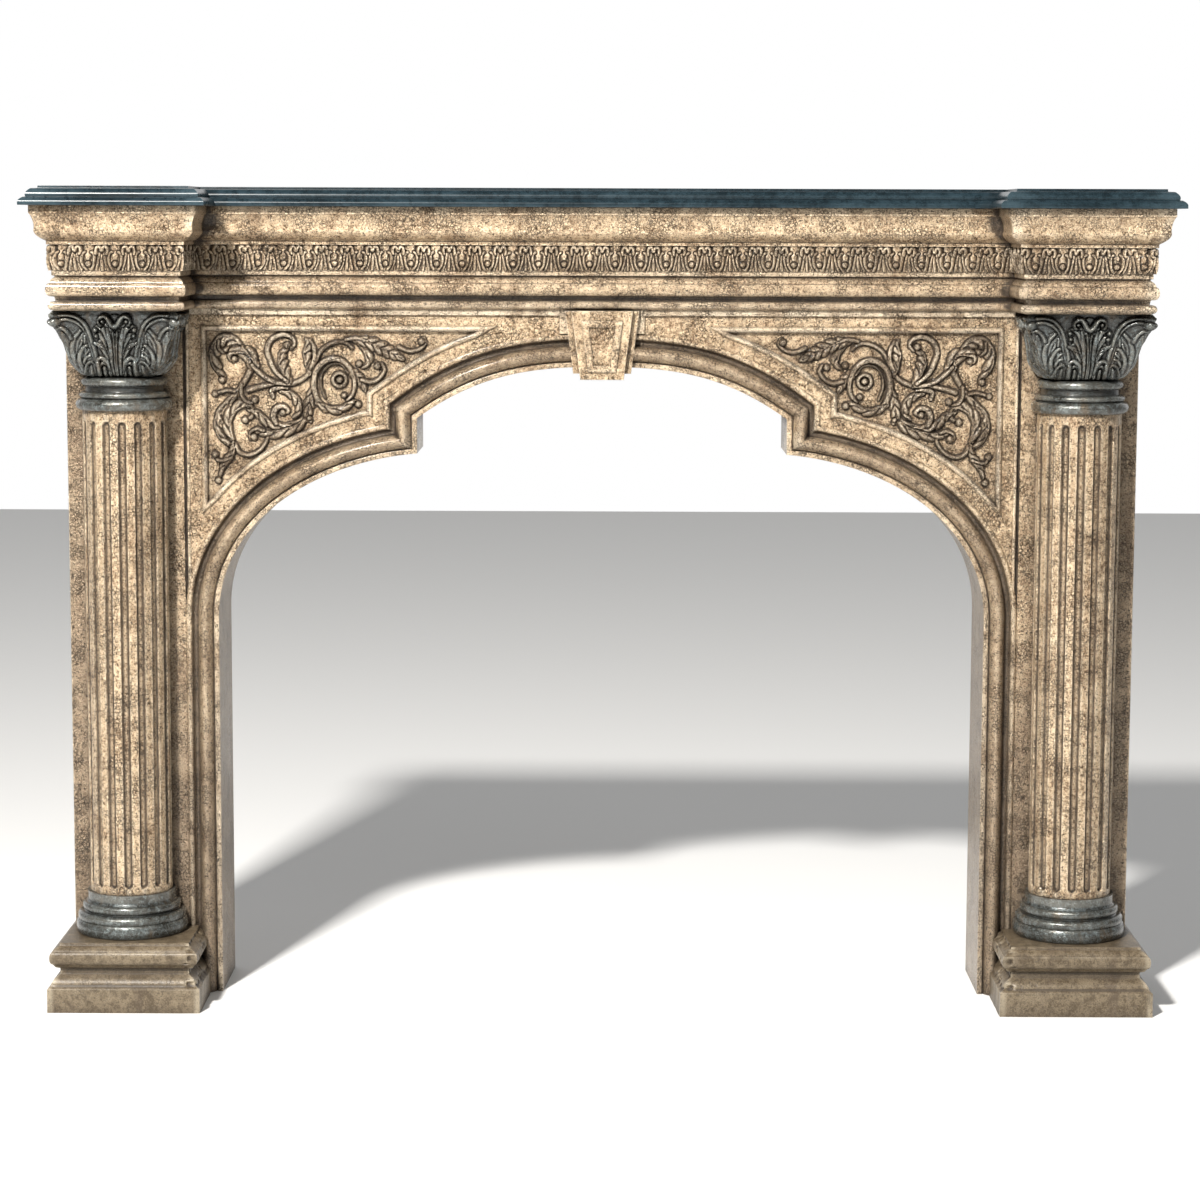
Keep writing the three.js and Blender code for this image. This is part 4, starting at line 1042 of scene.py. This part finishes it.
def bellShape(rise, column):     # face and corner reach of the bell at each rise
    swelling = np.minimum(1, rise / 0.25) ** 0.6
    face = column["bellFoot"] + (column["bellWaist"] - column["bellFoot"]) * swelling
    face = face + (column["bellHead"] - column["bellWaist"]) * rise
    ground = face - column["leafProud"]
    square = rise ** 0.6
    horn = np.maximum(0, (rise - 0.5) / 0.43) * np.where(rise > 0.93, 1 - 0.8 * (rise - 0.93) / 0.07, 1)
    corner = face * (math.sqrt(0.5) + (1 - math.sqrt(0.5)) * square) + column["hornReach"] * horn
    return face, ground, corner


# Carving of half a face of the bell, in millimetres from its middle line and from the bell's foot:
# the line of each stroke, its width, how far it stands out, and for some how leafy it is
bellCarving = [
    ([(62, 8), (76, 36), (82, 62), (86, 76)], 9, 6.0, 0.8),
    ([(70, 6), (84, 32), (92, 60)], 9, 5.5, 0.8),
    ([(57, 6), (64, 22), (70, 38), (71, 54), (66, 68), (57, 79)], 7.5, 7.6, 0.2),
    ([(55, 12), (60, 30), (60, 46), (55, 62)], 5.5, 6.2),
    ([(50, 40), (51, 56), (50, 70)], 5, 6.0),
    ([(52, 8), (58, 20), (61, 32), (58, 44), (51, 53), (42, 54)], 7, 7.6, 0.2),
    ([(47, 16), (52, 28), (50, 40), (44, 46)], 5, 6.0),
    ([(48, 18), (53, 27), (49, 35), (41, 37)], 5.5, 7.2, 0.2),
    ([(32, 3), (32.5, 19), (41, 27.5), (50, 21), (53, 3)], 5.5, 7.6),
    ([(42, 2), (42.5, 19)], 6, 7.0),
    ([(12, 3), (12, 17), (20, 25.5), (28.5, 19), (30, 3)], 5.5, 7.4),
    ([(20.5, 2), (21, 17)], 6, 6.8),
    ([(72, 66), (77, 76), (86, 84), (94, 84)], 6, 8.6),
    ([(34, 30), (40, 52), (44, 70), (52, 84), (63, 93), (78, 98), (89, 96)], 6.5, 8.2),
    ([(30, 4), (31, 26), (35, 48), (38.5, 60), (43, 76), (49, 89), (60, 100), (74, 105), (88, 105)], 7, 10.2),
    ([(8, 8), (10, 30), (16, 45), (25, 54), (34, 58)], 9.5, 8.4, 0.6),
    ([(6, 30), (13, 46), (24, 52)], 4, 7.0),
    ([(6, 30), (9, 46), (15, 60), (23, 70), (31, 74)], 9.5, 9.4, 0.6),
    ([(10, 14), (15, 27), (24, 34), (31, 31)], 7, 8.6, 0.2),
    ([(5, 40), (10, 62), (17, 78), (25, 86), (33, 83)], 8.5, 11.4, 0.3),
    ([(4.6, 6), (6.5, 40), (10, 66), (13, 82)], 7.5, 9.0, 0.5),
    ([(1.0, 4), (1.4, 40), (2.6, 66), (4.5, 82)], 4.0, 9.6),
    ([(0, 85.5), (5, 88.5), (10, 97), (15, 103), (21, 102), (24.5, 95), (23, 89)], 8.2, 18.0),
]
bellBalls = [(32.5, 80, 4.6, 12.0), (20, 94, 4.4, 13.0), (31, 70, 4.0, 10.0), (95, 92, 7.8, 13.0)]


def capitalRelief(share, rise, corner, tall):
    points = np.stack([(np.abs(share) * corner).ravel(), (rise * tall).ravel()], 1)
    x, z = points.T
    leafWide = np.interp(z, [0, 20, 35, 50, 60, 66, 74, 80, 88, 94, 104, 107],
                         [12, 15, 21, 27, 31, 26, 28, 22, 27, 20, 14, 0])
    ribPlace = np.interp(z, [0, 26, 48, 60, 76, 89, 98, 103], [30, 31, 35, 38.5, 43, 49, 60, 74])
    height = 5.6 * smoothStep(0, 2.5, leafWide - x)
    fading = 1 - smoothStep(62, 88, z + 0.25 * (x - 60))
    height = np.maximum(height, 4.8 * smoothStep(0, 3, x - ribPlace) * fading)
    for line, wide, proud, *leaf in bellCarving:
        carve(height, points, flowing(line, 4), wide * 1.3, proud, *leaf, taper=0.2, moat=0.4)
    for ballX, ballZ, radius, proud in bellBalls:
        carveBall(height, points, (ballX, ballZ), radius, proud)
    height += 0.25 * swells(np.column_stack([points, np.zeros(len(points))]), 8, 63)
    return height.reshape(share.shape)


def makeCapital(column):
    foot = column["capitalTop"] - column["capitalHeight"]
    r, h = column["neck"], column["ringsHeight"]
    rings = Profile(r + 9, foot).roll(0.36 * h, r + 17, r + 6, 16).roll(0.2 * h, r + 11, r + 1, 12)
    rings.to(0.16 * h, r).roll(0.28 * h, r + 8, r - 3, 14)
    bellFoot = rings.points[-1][1]
    line = np.vstack([[[40, foot]], rings.eased(0.8), [[48, bellFoot + 1]]])
    sheets = [lathed(line, 0.4, 61)]

    tall = column["capitalTop"] - bellFoot
    rise = np.linspace(0, 1, column["bellRows"])[:, None]
    share = np.linspace(-1, 1, column["bellColumns"] * 2 + 1)[None, :-1]
    face, ground, corner = bellShape(rise, column)
    shares, rises = np.broadcast_arrays(share, rise)
    relief = capitalRelief(shares, rises, corner, tall)
    relief *= smoothStep(-0.02, 0.04, rise) * (1 - 0.8 * smoothStep(0.95, 0.985, rise))
    relief *= 1 - 0.35 * np.abs(share) ** 8
    sideways = (corner + relief * np.abs(share) ** 8) * share
    out = ground + (corner - ground) * share ** 2 + relief
    quarters = []
    for quarter in range(4):
        c, n = round(math.cos(quarter * math.pi / 2)), round(math.sin(quarter * math.pi / 2))
        x, y = columnMiddle[0] + sideways * c + out * n, columnMiddle[1] + sideways * n - out * c
        quarters.append(np.stack(np.broadcast_arrays(x, y, bellFoot + rise * tall), -1))
    points = np.concatenate(quarters, 1)
    lid = points[-1][points[-1][:, 1] < hidden]
    sheets += [frontOnly(gridSheet(points, wrap=True)), polygonSheet(lid)]
    makePair("Capital", "capital", sheets, verdigrisFinish, sharp=60)


makeCapital(column)


# Plinths

plinth = {"outer": 932.0, "inner": 674.0, "front": -331.0, "height": 116.0, "pilaster": -909.3, "joint": 0.3,
          "round": 0.9, "spacing": 6, "uneven": 0.5, "chipped": 3.5, "chipsWide": 24}


def makePlinth(plinth):
    h, outer, inner, front = (plinth[key] for key in ("height", "outer", "inner", "front"))
    back = panelFace - plinth["joint"]
    edge = Profile(0, 0).to(0.35 * h, 0).to(3, 4).to(3, 6).bow(0.11 * h, 15, -2).to(4, 20).to(0.08 * h, 20)
    edge.to(3, 13).to(0.05 * h, 9).roll(0.18 * h, 4, 8, 16).bow(0.08 * h, 19, -1.5, 5)
    edge.points.append((20, h))
    inset, heights = edge.eased(plinth["round"]).T
    places = ((-outer + inset, 0), (-outer + inset, front + inset), (-inner - inset, front + inset),
              (-inner - inset, back))
    corners = [np.stack(np.broadcast_arrays(x, y, heights), -1) for x, y in places]
    columns = []
    for a, b in zip(corners, corners[1:]):
        count = round(np.linalg.norm(b[0] - a[0]) / plinth["spacing"])
        columns += [a + (b - a) * i / count for i in range(count)]
    points = np.stack(columns + [corners[-1]], 1)
    x, y, z = np.moveaxis(points, -1, 0)
    swell = np.abs(swells(points.reshape(-1, 3), 90, 71)).reshape(x.shape) * plinth["uneven"]
    chips = smoothStep(0.0, 0.9, swells(points.reshape(-1, 3), 17, 73)).reshape(x.shape)
    chips *= x > -inner - plinth["chipsWide"]        # only by the opening, and not on the plain foot
    swell = swell + plinth["chipped"] * chips * smoothStep(30, 50, z) * (1 - smoothStep(112, 115, z))
    middle = -(outer + inner) / 2
    inward = np.stack([np.sign(middle - x) * (np.abs(x - middle) > 100), y < panelFace - 5], -1)
    points[..., :2] += inward * swell[..., None]

    rear, wall = (np.column_stack([np.full((len(heights), 2), place), heights])
                  for place in ((plinth["pilaster"], back), (plinth["pilaster"], 0)))
    sheets = [gridSheet(points)]
    sheets += [polygonSheet(np.vstack([points[row], rear[row], wall[row]]), flip=row == 0) for row in (0, -1)]
    runs = [points[:, -1], rear, wall, points[:, 0]]
    sheets += [gridSheet(np.stack(pair, 1)) for pair in zip(runs, runs[1:])]
    makePair("Plinth", "plinth", sheets, buffFinish)


makePlinth(plinth)


# Floor

def makeFloor(look):
    half = look["floorHalf"]
    mesh = bpy.data.meshes.new("studioFloor")
    corners = [(-half, -half, 0), (half, -half, 0), (half, half, 0), (-half, half, 0)]
    mesh.from_pydata(corners, [], [(0, 1, 2, 3)])
    material, node = newMaterial("studioPaint")
    shader = node("BsdfPrincipled", {"Base Color": look["floorColour"], "Roughness": look["floorRough"]})
    node("OutputMaterial", {"Surface": shader.outputs[0]})
    mesh.materials.append(material)
    linked("studioFloor", mesh)


makeFloor(look)
print("floor laid")
